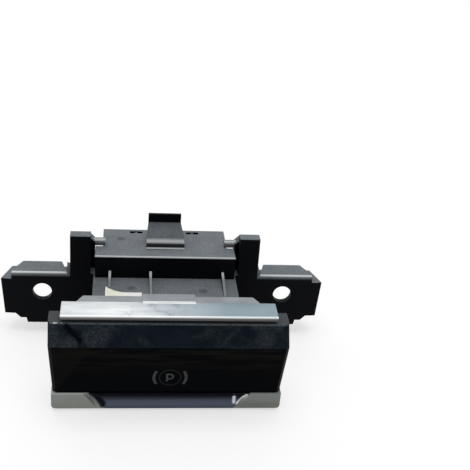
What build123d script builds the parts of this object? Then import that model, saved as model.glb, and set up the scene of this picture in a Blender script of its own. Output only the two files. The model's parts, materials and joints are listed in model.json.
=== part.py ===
from build123d import *
from math import cos, hypot, pi, radians, sin
import os

os.makedirs("parts", exist_ok=True)

# Electric parking brake switch, in millimetres.
# The origin lies midway between the two ear holes, on the ears' front face.
# X runs along the ears, Y runs from the driver to the back, Z is up.

# Walls and clearances
wall = 2.0
thin_wall = 1.8
slide_gap = 0.1
running_gap = 0.05
free_gap = 0.3
# How far a cut runs past the surface it opens, and how deep a form is rooted in another
overcut = 1.0
root = 0.5

# Ears
ear_hole_x = 44.6
ear_hole_r = 3.45
ear_tip_x = 59.4
ear_tip_back_x = 56.2
ear_facet_x = 55.2
ear_facet_t = 0.4
ear_depth = 9.8
ear_top_z = 5.2
ear_tip_bottom_z = -9.3
ear_step_z = -11.2
ear_bottom_z = -13.2
ear_step_out_x = 54.5
ear_step_mid_x = 52.6
ear_step_in_x = 50.6
ear_slant = 0.5
ear_tip_slant = 1.1
ear_web_l = 4.0
ear_front_wall = 2.4
ear_rib_t = 1.6
ear_rib_reach = 7.2
pad_ramp_h = 1.2
pad_top_z = 7.4
pad_out_x = 55.6
pad_ramp_l = 1.5
pad_back_out_x = 52.2
pad_in_cut = 2.0
pad_cut_y = 2.8
pad_round = 2.2

# Posts beside the rear housing, with the peg that clips it in place
post_step = 1.4
post_w = 7.4
post_depth = 4.4
post_top_z = 23.0
post_round = 0.35
shoulder_gap = 0.2
shoulder_inset = 1.5
shoulder_back_y = 8.4
shoulder_top_z = 20.4
shoulder_chamfer = 1.8
peg_r = 1.5
peg_y = 6.7
peg_z = 17.7
peg_overlap = 1.0

# Neck box between the ears and the paddle
neck_half = 26.0
neck_front_y = -31.3
deck_z = 7.9
base_z = -17.5
passage_inset = 6.0
passage_bottom_z = -14.6

# Tower at the front of the neck, which carries the trim and the hinge
tower_inset = 10.6
tower_front_y = -37.8
tower_bottom_z = 4.0
tower_top_z = 15.3
lug_t = 3.0
lug_r = 2.9
inner_lug_x = 6.0

# Low ribs on the deck: place along X and length forwards from the wall
deck_rib_t = 0.9
deck_rib_top_z = 10.9
deck_rib_toe_z = 8.5
deck_rib_toe_l = 2.0
deck_ribs = ((-20.1, 6.0), (-5.4, 12.0), (21.0, 12.0))

# Rear housing
box_half = 22.9
canopy_overhang = 2.6
canopy_front_y = -3.0
canopy_back_y = 5.0
rear_y = 19.0
plate_z = 16.7
rear_base_z = -16.5
window_x = 10.6
window_w = 4.7
window_y = 16.8
window_l = 1.7

# Latch tongue on the rear housing's plate
tongue_half = 7.0
tongue_front_y = 3.9
tongue_root_y = 8.0
tongue_step = 2.2
tongue_round = 1.3
tongue_foot_l = 1.2
tongue_foot_h = 0.4
tongue_t = 1.8
tongue_heel = 0.7
tongue_lip_half = 6.15
tongue_lip_y = 16.6
tongue_lip_base_z = 21.2
tongue_lip_top_z = 24.6
tongue_lip_t = 1.5
tongue_lip_slope = 1.4

# Rear cover
cover_t = 1.6
hook_t = 1.6
hook_l = 3.4

# Hinge of the paddle
hinge_y = -43.0
hinge_z = 8.0
rod_r = 1.25
rod_end_l = 2.5
clip_t = 0.8
clip_r = 2.4
clip_groove = 0.25
clip_grip = 0.15
pull_deg = 7.5
push_deg = 5.5

# Paddle shell, seen from the side: ledge, bevel and main face
paddle_half = 39.1
paddle_taper = 1.35
ledge_z = 15.7
ledge_back_y = -39.2
ledge_front_y = -46.5
brow_y = -52.4
brow_z = 10.2
chin_y = -48.36
chin_z = -10.0
side_back_y = -40.6
side_chamfer = 1.1

# Grip along the paddle's lower edge
grip_inset = 0.9
grip_proud = 0.5
grip_bottom_z = -17.0
grip_back_y = -41.6
grip_round = 2.0
grip_edge = 0.6
grip_lean = 0.6
grip_rim_t = 2.0
grip_heel = 1.6
grip_tongue_t = 1.6
grip_tongue_w = 5.0
grip_tongue_h = 5.0
grip_tongue_gap = 3.2
scoop_top_half = 28.0
scoop_bottom_half = 23.1
scoop_depth = 1.7
scoop_rim = 0.7
scoop_run_out = 2.6

# Paddle carrier inside the shell
carrier_side_gap = 0.85
carrier_t = 2.0
barrel_r = 2.7
arm_inset = 8.0
arm_w = 4.0
arm_top_z = 0.0
arm_bottom_z = -4.0
arm_end_y = -11.0
beam_w = 4.0
slot_room = 1.2
slot_side_room = 0.8
carrier_rib_t = 2.0
carrier_rib_heel = 4.0
boss_inset = 4.0
boss_offset = 5.6
boss_w = 4.6
head_sides = 12
shank_sides = 8
paddle_head_r = 3.2
paddle_head_h = 1.4

# Symbol diffuser and light pipe
symbol_z = -2.6
diffuser_w = 18.0
diffuser_h = 11.0
diffuser_t = 2.2
pipe_w = 4.4
pipe_leg_y = -21.8

# Magnet in the beam between the arms
magnet_r = 2.2
magnet_h = 3.0
magnet_boss_r = 3.3
magnet_boss_drop = 0.8

# Centring springs
spring_y = -20.0
spring_r = 2.2
spring_wire_t = 0.7
lower_turns = 4
upper_turns = 2
steps_per_turn = 12
spring_pip_w = 2.1
spring_pip_h = 1.6

# Rubber stop pads
pad_size = 4.0
pad_clearance = 0.28
pull_post_top_z = -10.0

# Base cover and its screws
cover_plate_t = 1.8
base_boss_r = 2.6
base_boss_top_z = -8.2
screw_r = 1.0
screw_head_r = 2.1
screw_head_h = 0.8
screw_l = 8.0

# Circuit board
board_t = 1.6
board_top_z = -11.6
board_arm_gap = 4.0
board_front_y = -27.0
board_step_y = 3.0
board_side_gap = 2.1
board_back_y = 15.0
rest_w = 3.0
rest_inset = 3.0
rest_y = -24.0
standoff_r = 2.2
standoff_inset = 3.2
standoff_y = 11.0
board_screw_r = 0.9
board_head_r = 2.0
board_head_h = 1.3

# Components on the board: length, width and height
hall_size = (3.0, 2.8, 1.2)
hall_x = 2.4
lamp_size = (3.2, 2.8, 1.5)
chip_size = (7.0, 7.0, 1.4)
chip_y = -3.0
capacitor_size = (2.0, 1.25, 1.2)
capacitor_chip_gap = 3.5
capacitor_edge_gap = 3.0
capacitor_pitch = 4.0

# Connector header and pins
header_screw_gap = 3.8
header_h = 11.0
header_front_y = 8.0
header_wall = 1.5
socket_back_y = 14.5
header_mouth_y = 30.0
pin_size = 0.8
pin_side_room = 3.0
pins_per_row = 6
pin_tip_y = 24.0
pin_rows = ((-4.7, 9.6), (-7.6, 11.8))

# Trim on the tower
strip_inset = 3.9
strip_front_y = -46.4
strip_back_y = -37.6
strip_top_z = 18.3
strip_lip = 1.6
strip_lip_t = 0.9
strip_edge = 0.25
strip_drop = 0.6
strip_t = 1.3
strip_root_t = 1.1
strip_leg_w = 5.0
strip_leg_l = 3.6
strip_leg_inset = 6.5
flange_overhang = 2.0
flange_back_y = -31.1
flange_turn_y = -34.8
flange_z = 16.8
tab_half = 8.85
tab_back_y = -30.2
tab_front_y = -35.5
tab_rise = 0.4
flange_peg_r = 1.0
flange_peg_inset = 12.5


def swung(y, z, degrees):
    """Where a point of the paddle stands after it has turned about the hinge."""
    turn = radians(degrees)
    swung_y = hinge_y + (y - hinge_y) * cos(turn) - (z - hinge_z) * sin(turn)
    swung_z = hinge_z + (y - hinge_y) * sin(turn) + (z - hinge_z) * cos(turn)
    return swung_y, swung_z


# Values that follow from the sizes above
brow_to_chin = hypot(chin_y - brow_y, chin_z - brow_z)
face_down = ((chin_y - brow_y) / brow_to_chin, (chin_z - brow_z) / brow_to_chin)
face_in = (-face_down[1], face_down[0])
face_mid_y = (brow_y + chin_y) / 2 + wall * face_in[0]
face_mid_z = (brow_z + chin_z) / 2 + wall * face_in[1]
inner_face = Plane(
    origin=(0, face_mid_y, face_mid_z),
    x_dir=(1, 0, 0),
    z_dir=(0, face_in[0], face_in[1]),
)
canopy_half = box_half + canopy_overhang
shoulder_in_x = canopy_half + shoulder_gap
post_in_x = shoulder_in_x + post_step
post_out_x = post_in_x + post_w
shoulder_out_x = post_out_x - shoulder_inset
pad_in_x = post_out_x + pad_ramp_l
pad_back_in_x = pad_in_x + pad_in_cut
tower_half = paddle_half - tower_inset
rod_half = tower_half + rod_end_l
grip_half = paddle_half - grip_inset
carrier_half = paddle_half - paddle_taper - wall - carrier_side_gap
boss_x = carrier_half - boss_inset
grip_tongue_x = boss_x - paddle_head_r - grip_tongue_gap - grip_tongue_w / 2
strip_half = paddle_half - strip_inset
strip_legs = (strip_leg_inset - tower_half, 0.0, tower_half - strip_leg_inset)
flange_half = tower_half + flange_overhang
flange_peg_x = tower_half - flange_peg_inset
arm_x = neck_half - arm_inset
passage_half = neck_half - passage_inset
board_front_half = arm_x - arm_w / 2 - board_arm_gap
board_rear_half = box_half - thin_wall - board_side_gap
front_rest = (board_front_half - rest_inset, rest_y)
rear_standoff = (board_rear_half - standoff_inset, standoff_y)
header_half = rear_standoff[0] - header_screw_gap
pin_pitch = 2 * (header_half - header_wall - pin_side_room) / (pins_per_row - 1)
chip_half = chip_size[0] / 2
capacitor_room = capacitor_chip_gap + capacitor_size[0] + capacitor_edge_gap
capacitor_share = (capacitor_chip_gap + capacitor_size[0] / 2) / capacitor_room
capacitor_x = chip_half + capacitor_share * (board_front_half - chip_half)
ceiling_z = deck_z - wall
base_inner_z = base_z + cover_plate_t
rear_floor_z = rear_base_z + thin_wall
board_bottom_z = board_top_z - board_t
strip_root_y = strip_back_y + strip_root_t
strip_under_z = strip_top_z - strip_lip
base_boss_x = neck_half - wall - base_boss_r + root
base_boss_front_y = neck_front_y + wall + base_boss_r - root
base_boss_back_y = root - base_boss_r
stop_y = arm_end_y - beam_w / 2
slot_low_z = swung(neck_front_y, arm_bottom_z, -pull_deg)[1] - slot_room
slot_high_z = swung(neck_front_y, arm_top_z, push_deg)[1] + slot_room
tower_heel_z = slot_high_z + root
pipe_low_z = symbol_z - pipe_w / 2
pipe_high_z = symbol_z + pipe_w / 2
diffuser_back_y = face_mid_y + (pipe_low_z - face_mid_z) * face_down[0] / face_down[1] + diffuser_t
pipe_front_y = swung(diffuser_back_y, pipe_low_z, push_deg)[0] + 2 * free_gap
both_sides = (-1, 1)


def paddle_outline(back, down):
    """Side outline of the paddle shell, taken further back and down by the given lengths."""
    slope = (chin_y - brow_y) / (chin_z - brow_z)
    return [
        (ledge_back_y + back, ledge_z),
        (ledge_front_y, ledge_z),
        (brow_y, brow_z),
        (chin_y - down * slope, chin_z - down),
        (side_back_y + back, chin_z - down),
    ]


def save(piece, name):
    """Label a finished piece and write its STEP file."""
    piece.part.label = name
    export_step(piece.part, f"parts/{name}.step")


# Front housing: ears, posts, neck box and tower in one moulding
with BuildPart() as front_housing:
    with BuildSketch(Plane.XY.offset(base_z)):
        with Locations((0, neck_front_y / 2)):
            Rectangle(2 * neck_half, -neck_front_y)
    extrude(amount=deck_z - base_z)
    # Tower, cored out from below
    with BuildSketch(Plane.YZ.offset(-tower_half)):
        with BuildLine():
            Polyline(
                (neck_front_y, tower_heel_z),
                (tower_front_y, tower_bottom_z),
                (tower_front_y, tower_top_z),
                (neck_front_y, tower_top_z),
                close=True,
            )
        make_face()
    extrude(amount=2 * tower_half)
    for side in both_sides:
        core_in = inner_lug_x + lug_t + wall
        core_out = tower_half - lug_t
        with BuildSketch(Plane.XY.offset(tower_heel_z)):
            with Locations((side * (core_in + core_out) / 2, (tower_front_y + neck_front_y) / 2)):
                Rectangle(core_out - core_in, neck_front_y - tower_front_y - 2 * wall)
        extrude(amount=tower_top_z - tower_heel_z - wall, mode=Mode.SUBTRACT)
    # Neck cavity, open below for the base cover and behind for the circuit board
    with BuildSketch(Plane.XY.offset(base_z)):
        with Locations((0, (neck_front_y + wall) / 2)):
            Rectangle(2 * (neck_half - wall), -neck_front_y - wall)
    extrude(amount=ceiling_z - base_z, mode=Mode.SUBTRACT)
    # Ear plate with its stepped lower edge
    with BuildSketch(Plane.XZ.offset(-ear_depth)):
        with BuildLine():
            Polyline(
                (0, base_z),
                (neck_half, base_z),
                (neck_half + ear_web_l, ear_bottom_z),
                (ear_step_in_x - ear_slant, ear_bottom_z),
                (ear_step_in_x, ear_step_z),
                (ear_step_mid_x, ear_step_z),
                (ear_step_out_x, ear_tip_bottom_z),
                (ear_tip_x - ear_tip_slant, ear_tip_bottom_z),
                (ear_tip_x, ear_top_z),
                (pad_out_x, ear_top_z),
                (pad_out_x, pad_top_z),
                (pad_in_x, pad_top_z),
                (post_out_x, ear_top_z + pad_ramp_h),
                (post_out_x, deck_z),
                (0, deck_z),
                close=True,
            )
        make_face()
    extrude(amount=ear_depth)
    mirror(about=Plane.YZ)
    # The ear plate is only its front wall where the rear housing stands behind it
    with BuildSketch(Plane.XY.offset(base_z)):
        with Locations((0, (ear_front_wall + ear_depth) / 2)):
            Rectangle(2 * (box_half + free_gap), ear_depth - ear_front_wall)
    extrude(amount=deck_z - base_z, mode=Mode.SUBTRACT)
    # Passage from the neck to the rear housing
    with BuildSketch(Plane.XZ.offset(overcut)):
        with Locations((0, (ceiling_z + passage_bottom_z) / 2)):
            Rectangle(2 * passage_half, ceiling_z - passage_bottom_z)
    extrude(amount=-(ear_front_wall + 2 * overcut), mode=Mode.SUBTRACT)
    for side in both_sides:
        # Tapered ear tip with a shallow facet in front, and cut corners of the pad
        with BuildSketch(Plane.XY.offset(base_z)):
            with BuildLine():
                Polyline(
                    (side * ear_facet_x, 0),
                    (side * (ear_tip_x + overcut), 0),
                    (side * (ear_tip_x + overcut), ear_depth),
                    (side * ear_tip_back_x, ear_depth),
                    (side * ear_tip_x, ear_facet_t),
                    close=True,
                )
            make_face()
        extrude(amount=deck_z - base_z, mode=Mode.SUBTRACT)
        for pad_x, back_x in ((pad_out_x, pad_back_out_x), (pad_in_x, pad_back_in_x)):
            with BuildSketch(Plane.XY.offset(ear_top_z)):
                with BuildLine():
                    Polyline(
                        (side * pad_x, pad_cut_y),
                        (side * back_x, ear_depth),
                        (side * pad_x, ear_depth),
                        close=True,
                    )
                make_face()
            extrude(amount=pad_top_z - ear_top_z, mode=Mode.SUBTRACT)
        # Hollow back of the ear, with ribs on both sides of the screw hole
        with BuildSketch(Plane.XZ.offset(-ear_depth)):
            with BuildLine():
                Polyline(
                    (side * (neck_half + wall), ear_bottom_z + wall),
                    (side * (ear_step_in_x - wall), ear_bottom_z + wall),
                    (side * (ear_step_out_x - ear_slant), ear_tip_bottom_z + wall),
                    (side * (ear_tip_back_x - wall - ear_slant), ear_tip_bottom_z + wall),
                    (side * (ear_tip_back_x - wall), ear_top_z - wall),
                    (side * (neck_half + wall), ear_top_z - wall),
                    close=True,
                )
            make_face()
            with Locations((side * post_out_x, 0), (side * (ear_hole_x + ear_rib_reach), 0)):
                Rectangle(ear_rib_t, 2 * (ear_hole_x - neck_half), mode=Mode.SUBTRACT)
        extrude(amount=ear_depth - ear_front_wall, mode=Mode.SUBTRACT)
        with BuildSketch(Plane.XZ.offset(overcut)):
            with Locations((side * ear_hole_x, 0)):
                Circle(ear_hole_r)
        extrude(amount=-(ear_depth + 2 * overcut), mode=Mode.SUBTRACT)
    # Rounded front edge of the pads
    for side in both_sides:
        with BuildSketch(Plane.YZ.offset(side * post_out_x)):
            with Locations((pad_round / 2, pad_top_z - pad_round / 2)):
                Rectangle(pad_round, pad_round)
            with Locations((pad_round, pad_top_z - pad_round)):
                Circle(pad_round, mode=Mode.SUBTRACT)
        extrude(amount=side * (pad_out_x - post_out_x), mode=Mode.SUBTRACT)
    for side in both_sides:
        # Post with a rounded top, and its shoulder behind
        with BuildSketch(Plane.XZ.offset(-post_depth)):
            with BuildLine():
                Polyline(
                    (side * post_in_x, 0),
                    (side * post_in_x, post_top_z),
                    (side * post_out_x, post_top_z),
                    (side * post_out_x, 0),
                    close=True,
                )
            make_face()
        extrude(amount=post_depth)
        with BuildSketch(Plane.XZ.offset(-shoulder_back_y)):
            with BuildLine():
                Polyline(
                    (side * shoulder_in_x, 0),
                    (side * shoulder_in_x, shoulder_top_z - shoulder_chamfer),
                    (side * (shoulder_in_x + shoulder_chamfer), shoulder_top_z),
                    (side * shoulder_out_x, shoulder_top_z),
                    (side * shoulder_out_x, 0),
                    close=True,
                )
            make_face()
        extrude(amount=shoulder_back_y - post_depth)
        with BuildSketch(Plane.YZ.offset(side * (box_half - peg_overlap))):
            with Locations((peg_y, peg_z)):
                Circle(peg_r)
        extrude(amount=side * (shoulder_in_x - box_half + peg_overlap + 2 * root))
    post_tops = [
        e for e in front_housing.edges().filter_by(Axis.X)
        if abs(e.center().Z - post_top_z) < 0.01
    ]
    fillet(post_tops, radius=post_round)
    # Low ribs on the deck
    for rib_x, rib_l in deck_ribs:
        with BuildSketch(Plane.YZ.offset(rib_x - deck_rib_t / 2)):
            with BuildLine():
                Polyline(
                    (canopy_front_y - slide_gap, deck_z - root),
                    (canopy_front_y - slide_gap, deck_rib_top_z),
                    (canopy_front_y - rib_l, deck_rib_toe_z),
                    (canopy_front_y - rib_l - deck_rib_toe_l, deck_z - root),
                    close=True,
                )
            make_face()
        extrude(amount=deck_rib_t)
    # Hinge lugs in front of the tower
    for side in both_sides:
        for lug_x in (inner_lug_x, tower_half - lug_t):
            with BuildSketch(Plane.YZ.offset(side * lug_x)):
                with Locations(((hinge_y + tower_front_y + root) / 2, hinge_z)):
                    Rectangle(tower_front_y + root - hinge_y, 2 * lug_r)
                with Locations((hinge_y, hinge_z)):
                    Circle(lug_r)
            extrude(amount=side * lug_t)
    with BuildSketch(Plane.YZ.offset(-tower_half - overcut)):
        with Locations((hinge_y, hinge_z)):
            Circle(rod_r + running_gap / 2)
    extrude(amount=2 * (tower_half + overcut), mode=Mode.SUBTRACT)
    # Slots for the paddle's arms and the light pipe in the neck's front wall
    slot_mid_z = (slot_low_z + slot_high_z) / 2
    with BuildSketch(Plane.XZ.offset(-neck_front_y + overcut)):
        with Locations((-arm_x, slot_mid_z), (arm_x, slot_mid_z)):
            Rectangle(arm_w + 2 * slot_side_room, slot_high_z - slot_low_z)
        with Locations((0, symbol_z)):
            Rectangle(pipe_w + 2 * slide_gap, pipe_w + 2 * slide_gap)
    extrude(amount=-(wall + 2 * overcut), mode=Mode.SUBTRACT)
    # Sockets for the trim's legs and pegs in the tower's top
    with BuildSketch(Plane.XY.offset(tower_top_z)):
        for leg_x in strip_legs:
            with Locations((leg_x, strip_back_y + strip_root_t / 2)):
                Rectangle(strip_leg_w + 2 * slide_gap, strip_root_t + 2 * slide_gap)
        with Locations((-flange_peg_x, flange_turn_y), (flange_peg_x, flange_turn_y)):
            Circle(flange_peg_r + slide_gap)
    extrude(amount=-(strip_leg_l + slide_gap), mode=Mode.SUBTRACT)
    # Screw bosses in the corners of the neck
    for side in both_sides:
        for boss_y in (base_boss_front_y, base_boss_back_y):
            with BuildSketch(Plane.XY.offset(base_inner_z)):
                with Locations((side * base_boss_x, boss_y)):
                    Rectangle(2 * base_boss_r, 2 * base_boss_r)
            extrude(amount=base_boss_top_z - base_inner_z)
            with BuildSketch(Plane.XY.offset(base_inner_z)):
                with Locations((side * base_boss_x, boss_y)):
                    Circle(screw_r + slide_gap / 2)
            extrude(amount=screw_l, mode=Mode.SUBTRACT)
        # Pip that guides the upper spring
        with BuildSketch(Plane.XY.offset(ceiling_z)):
            with Locations((side * arm_x, spring_y)):
                Rectangle(spring_pip_w, spring_pip_w)
        extrude(amount=-spring_pip_h)
save(front_housing, "front_housing")

# Rear housing: canopy on the deck, box behind the ears and the latch tongue
with BuildPart() as rear_housing:
    with BuildSketch(Plane.XY.offset(deck_z)):
        with Locations((0, (canopy_front_y + canopy_back_y) / 2)):
            Rectangle(2 * canopy_half, canopy_back_y - canopy_front_y)
        with Locations((0, (canopy_back_y + rear_y) / 2)):
            Rectangle(2 * box_half, rear_y - canopy_back_y)
    extrude(amount=plate_z - deck_z)
    with BuildSketch(Plane.XY.offset(rear_base_z)):
        with Locations((0, (ear_front_wall + rear_y) / 2)):
            Rectangle(2 * box_half, rear_y - ear_front_wall)
    extrude(amount=deck_z - rear_base_z)
    # Hollow inside, open at the front below the deck and at the back
    with BuildSketch(Plane.XY.offset(rear_floor_z)):
        with Locations((0, (ear_front_wall + rear_y) / 2)):
            Rectangle(2 * (box_half - thin_wall), rear_y - ear_front_wall)
    extrude(amount=plate_z - thin_wall - rear_floor_z, mode=Mode.SUBTRACT)
    with BuildSketch(Plane.XY.offset(deck_z)):
        with Locations((0, (canopy_front_y + canopy_back_y) / 2)):
            Rectangle(2 * (canopy_half - thin_wall), canopy_back_y - canopy_front_y - 2 * thin_wall)
    extrude(amount=plate_z - thin_wall - deck_z, mode=Mode.SUBTRACT)
    # Notch beside each post, where the peg clips over the plate's edge
    for side in both_sides:
        with BuildSketch(Plane.YZ.offset(side * (box_half - peg_overlap - free_gap))):
            with Locations((peg_y, peg_z)):
                Circle(peg_r + free_gap)
        extrude(amount=side * (peg_overlap + free_gap + overcut), mode=Mode.SUBTRACT)
    # Snap windows near the back edge
    with BuildSketch(Plane.XY.offset(plate_z)):
        with Locations((-window_x, window_y), (window_x, window_y)):
            Rectangle(window_w, window_l)
    extrude(amount=-thin_wall, mode=Mode.SUBTRACT)
    # Latch tongue: rooted in front, free behind, with a lip across its end
    with BuildSketch(Plane.YZ.offset(-tongue_half)):
        with BuildLine():
            Polyline(
                (tongue_front_y - tongue_foot_l, plate_z - root),
                (tongue_front_y - tongue_foot_l, plate_z + tongue_foot_h),
                (tongue_front_y, plate_z + tongue_foot_h),
                (tongue_front_y, plate_z + tongue_step),
                (tongue_lip_y, tongue_lip_base_z),
                (tongue_lip_y, tongue_lip_top_z),
                (tongue_lip_y + 0.7 * tongue_lip_t, tongue_lip_top_z),
                (tongue_lip_y + tongue_lip_t, tongue_lip_top_z - tongue_lip_slope),
                (tongue_lip_y + tongue_lip_t, tongue_lip_base_z - tongue_t),
                (tongue_root_y, plate_z + tongue_step - tongue_t + tongue_heel),
                (tongue_root_y, plate_z - root),
                close=True,
            )
        make_face()
    extrude(amount=2 * tongue_half)
    roll = [
        e for e in rear_housing.edges().filter_by(Axis.X)
        if abs(e.center().Y - tongue_front_y) + abs(e.center().Z - plate_z - tongue_step) < 0.01
    ]
    fillet(roll, radius=tongue_round)
    for side in both_sides:
        # Sides that draw in towards the lip
        with BuildSketch(Plane.XY.offset(plate_z)):
            with BuildLine():
                Polyline(
                    (side * tongue_half, tongue_root_y),
                    (side * tongue_lip_half, tongue_lip_y),
                    (side * tongue_lip_half, rear_y),
                    (side * (tongue_half + overcut), rear_y),
                    (side * (tongue_half + overcut), tongue_root_y),
                    close=True,
                )
            make_face()
        extrude(amount=tongue_lip_top_z - plate_z, mode=Mode.SUBTRACT)
    # Standoffs under the circuit board
    for side in both_sides:
        with BuildSketch(Plane.XY.offset(rear_floor_z)):
            with Locations((side * rear_standoff[0], rear_standoff[1])):
                Circle(standoff_r)
        extrude(amount=board_bottom_z - rear_floor_z)
    with BuildSketch(Plane.XY.offset(board_bottom_z)):
        for side in both_sides:
            with Locations((side * rear_standoff[0], rear_standoff[1])):
                Circle(board_screw_r + slide_gap / 2)
    extrude(amount=-(board_bottom_z - rear_floor_z), mode=Mode.SUBTRACT)
save(rear_housing, "rear_housing")

# Rear cover, snapped into the rear housing round the connector
header_top_z = board_top_z + header_h
with BuildPart() as rear_cover:
    cover_half = box_half - thin_wall - slide_gap
    cover_low = rear_floor_z + slide_gap
    cover_high = plate_z - thin_wall - slide_gap
    with BuildSketch(Plane.XZ.offset(-rear_y)):
        with Locations((0, (cover_low + cover_high) / 2)):
            Rectangle(2 * cover_half, cover_high - cover_low)
        with Locations((0, (board_top_z + header_top_z) / 2)):
            Rectangle(
                2 * header_half + 2 * slide_gap, header_h + 2 * slide_gap, mode=Mode.SUBTRACT
            )
    extrude(amount=cover_t)
    # Two hooks with gabled wedges that show in the snap windows
    hook_half = window_w / 2 - free_gap
    for side in both_sides:
        with BuildSketch(Plane.XZ.offset(cover_t - rear_y)):
            with Locations((side * window_x, cover_high - hook_t / 2)):
                Rectangle(2 * hook_half, hook_t)
        extrude(amount=hook_l)
        with BuildSketch(Plane.XZ.offset(slide_gap - window_y - window_l / 2)):
            with BuildLine():
                Polyline(
                    (side * window_x - hook_half, cover_high - root),
                    (side * window_x - hook_half, cover_high + slide_gap),
                    (side * window_x, plate_z - slide_gap),
                    (side * window_x + hook_half, cover_high + slide_gap),
                    (side * window_x + hook_half, cover_high - root),
                    close=True,
                )
            make_face()
        extrude(amount=window_l - 2 * slide_gap)
save(rear_cover, "rear_cover")

# Base cover in the mouth of the neck
with BuildPart() as base_cover:
    with BuildSketch(Plane.XY.offset(base_z)):
        cover_front = neck_front_y + wall + slide_gap
        with Locations((0, (cover_front - slide_gap) / 2)):
            Rectangle(2 * (neck_half - wall - slide_gap), -slide_gap - cover_front)
    extrude(amount=cover_plate_t)
    for side in both_sides:
        with BuildSketch(Plane.XY.offset(base_inner_z)):
            with Locations((side * arm_x, spring_y)):
                Rectangle(spring_pip_w, spring_pip_w)
        extrude(amount=spring_pip_h)
        with BuildSketch(Plane.XY.offset(base_inner_z)):
            with Locations((side * arm_x, stop_y)):
                Rectangle(pad_size, pad_size)
        extrude(amount=pull_post_top_z - base_inner_z)
        with BuildSketch(Plane.XY.offset(base_inner_z)):
            with Locations((side * front_rest[0], front_rest[1])):
                Rectangle(rest_w, rest_w)
        extrude(amount=board_bottom_z - base_inner_z)
    for side in both_sides:
        for boss_y in (base_boss_front_y, base_boss_back_y):
            with BuildSketch(Plane.XY.offset(base_z)):
                with Locations((side * base_boss_x, boss_y)):
                    Circle(screw_r + slide_gap)
            extrude(amount=cover_plate_t, mode=Mode.SUBTRACT)
            with BuildSketch(Plane.XY.offset(base_z)):
                with Locations((side * base_boss_x, boss_y)):
                    Circle(screw_head_r + slide_gap)
            extrude(amount=screw_head_h + slide_gap, mode=Mode.SUBTRACT)
save(base_cover, "base_cover")

# Screws that hold the base cover, as one group
with BuildPart() as base_screws:
    for side in both_sides:
        for boss_y in (base_boss_front_y, base_boss_back_y):
            with BuildSketch(Plane.XY.offset(base_z + slide_gap)):
                with Locations((side * base_boss_x, boss_y)):
                    RegularPolygon(screw_head_r, head_sides)
            extrude(amount=screw_head_h)
            with BuildSketch(Plane.XY.offset(base_z + slide_gap + screw_head_h)):
                with Locations((side * base_boss_x, boss_y)):
                    RegularPolygon(screw_r, shank_sides)
            extrude(amount=screw_l)
save(base_screws, "base_screws")

# Trim flange behind the chrome strip
with BuildPart() as trim_flange:
    with BuildSketch(Plane.XY.offset(tower_top_z)):
        with BuildLine():
            Polyline(
                (-flange_half, strip_root_y),
                (-flange_half, flange_turn_y),
                (-tower_half, flange_back_y),
                (tower_half, flange_back_y),
                (flange_half, flange_turn_y),
                (flange_half, strip_root_y),
                close=True,
            )
        make_face()
    extrude(amount=flange_z - tower_top_z)
    with BuildSketch(Plane.XY.offset(tower_top_z)):
        with Locations((0, (tab_back_y + tab_front_y) / 2)):
            Rectangle(2 * tab_half, tab_back_y - tab_front_y)
    extrude(amount=flange_z + tab_rise - tower_top_z)
    with BuildSketch(Plane.XY.offset(tower_top_z)):
        with Locations((-flange_peg_x, flange_turn_y), (flange_peg_x, flange_turn_y)):
            Circle(flange_peg_r)
    extrude(amount=-(strip_leg_l - free_gap))
save(trim_flange, "trim_flange")

# Chrome strip over the paddle's ledge, with legs that clip into the tower
with BuildPart() as top_trim_strip:
    with BuildSketch(Plane.YZ.offset(-strip_half)):
        with BuildLine():
            Polyline(
                (strip_front_y, strip_under_z),
                (strip_front_y, strip_top_z - strip_edge),
                (strip_front_y + strip_edge, strip_top_z),
                (strip_back_y, strip_top_z),
                (strip_root_y, strip_top_z - strip_drop),
                (strip_root_y, tower_top_z + slide_gap),
                (strip_back_y, tower_top_z + slide_gap),
                (strip_back_y, strip_top_z - strip_t),
                (strip_front_y + strip_lip_t, strip_top_z - strip_t),
                (strip_front_y + strip_lip_t, strip_under_z),
                close=True,
            )
        make_face()
    extrude(amount=2 * strip_half)
    for leg_x in strip_legs:
        with BuildSketch(Plane.XY.offset(tower_top_z + slide_gap)):
            with Locations((leg_x, strip_back_y + strip_root_t / 2)):
                Rectangle(strip_leg_w, strip_root_t)
        extrude(amount=-strip_leg_l)
save(top_trim_strip, "top_trim_strip")

# Hinge rod, with a groove near each end
with BuildPart() as hinge_rod:
    with BuildSketch(Plane.YZ.offset(-rod_half)):
        with Locations((hinge_y, hinge_z)):
            Circle(rod_r)
    extrude(amount=2 * rod_half)
    for side in both_sides:
        with BuildSketch(Plane.YZ.offset(side * (tower_half + slide_gap))):
            with Locations((hinge_y, hinge_z)):
                Circle(rod_r)
                Circle(rod_r - clip_groove, mode=Mode.SUBTRACT)
        extrude(amount=side * (clip_t + slide_gap), mode=Mode.SUBTRACT)
save(hinge_rod, "hinge_rod")

# Retaining clips on the hinge rod, open on one side
with BuildPart() as rod_clips:
    for side in both_sides:
        with BuildSketch(Plane.YZ.offset(side * (tower_half + 1.5 * slide_gap))):
            with Locations((hinge_y, hinge_z)):
                Circle(clip_r)
                Circle(rod_r - clip_groove + slide_gap / 2, mode=Mode.SUBTRACT)
            with Locations((hinge_y, hinge_z - clip_r)):
                Rectangle(2 * (rod_r - clip_groove - clip_grip), 2 * clip_r, mode=Mode.SUBTRACT)
        extrude(amount=side * clip_t)
save(rod_clips, "rod_clips")

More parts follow.
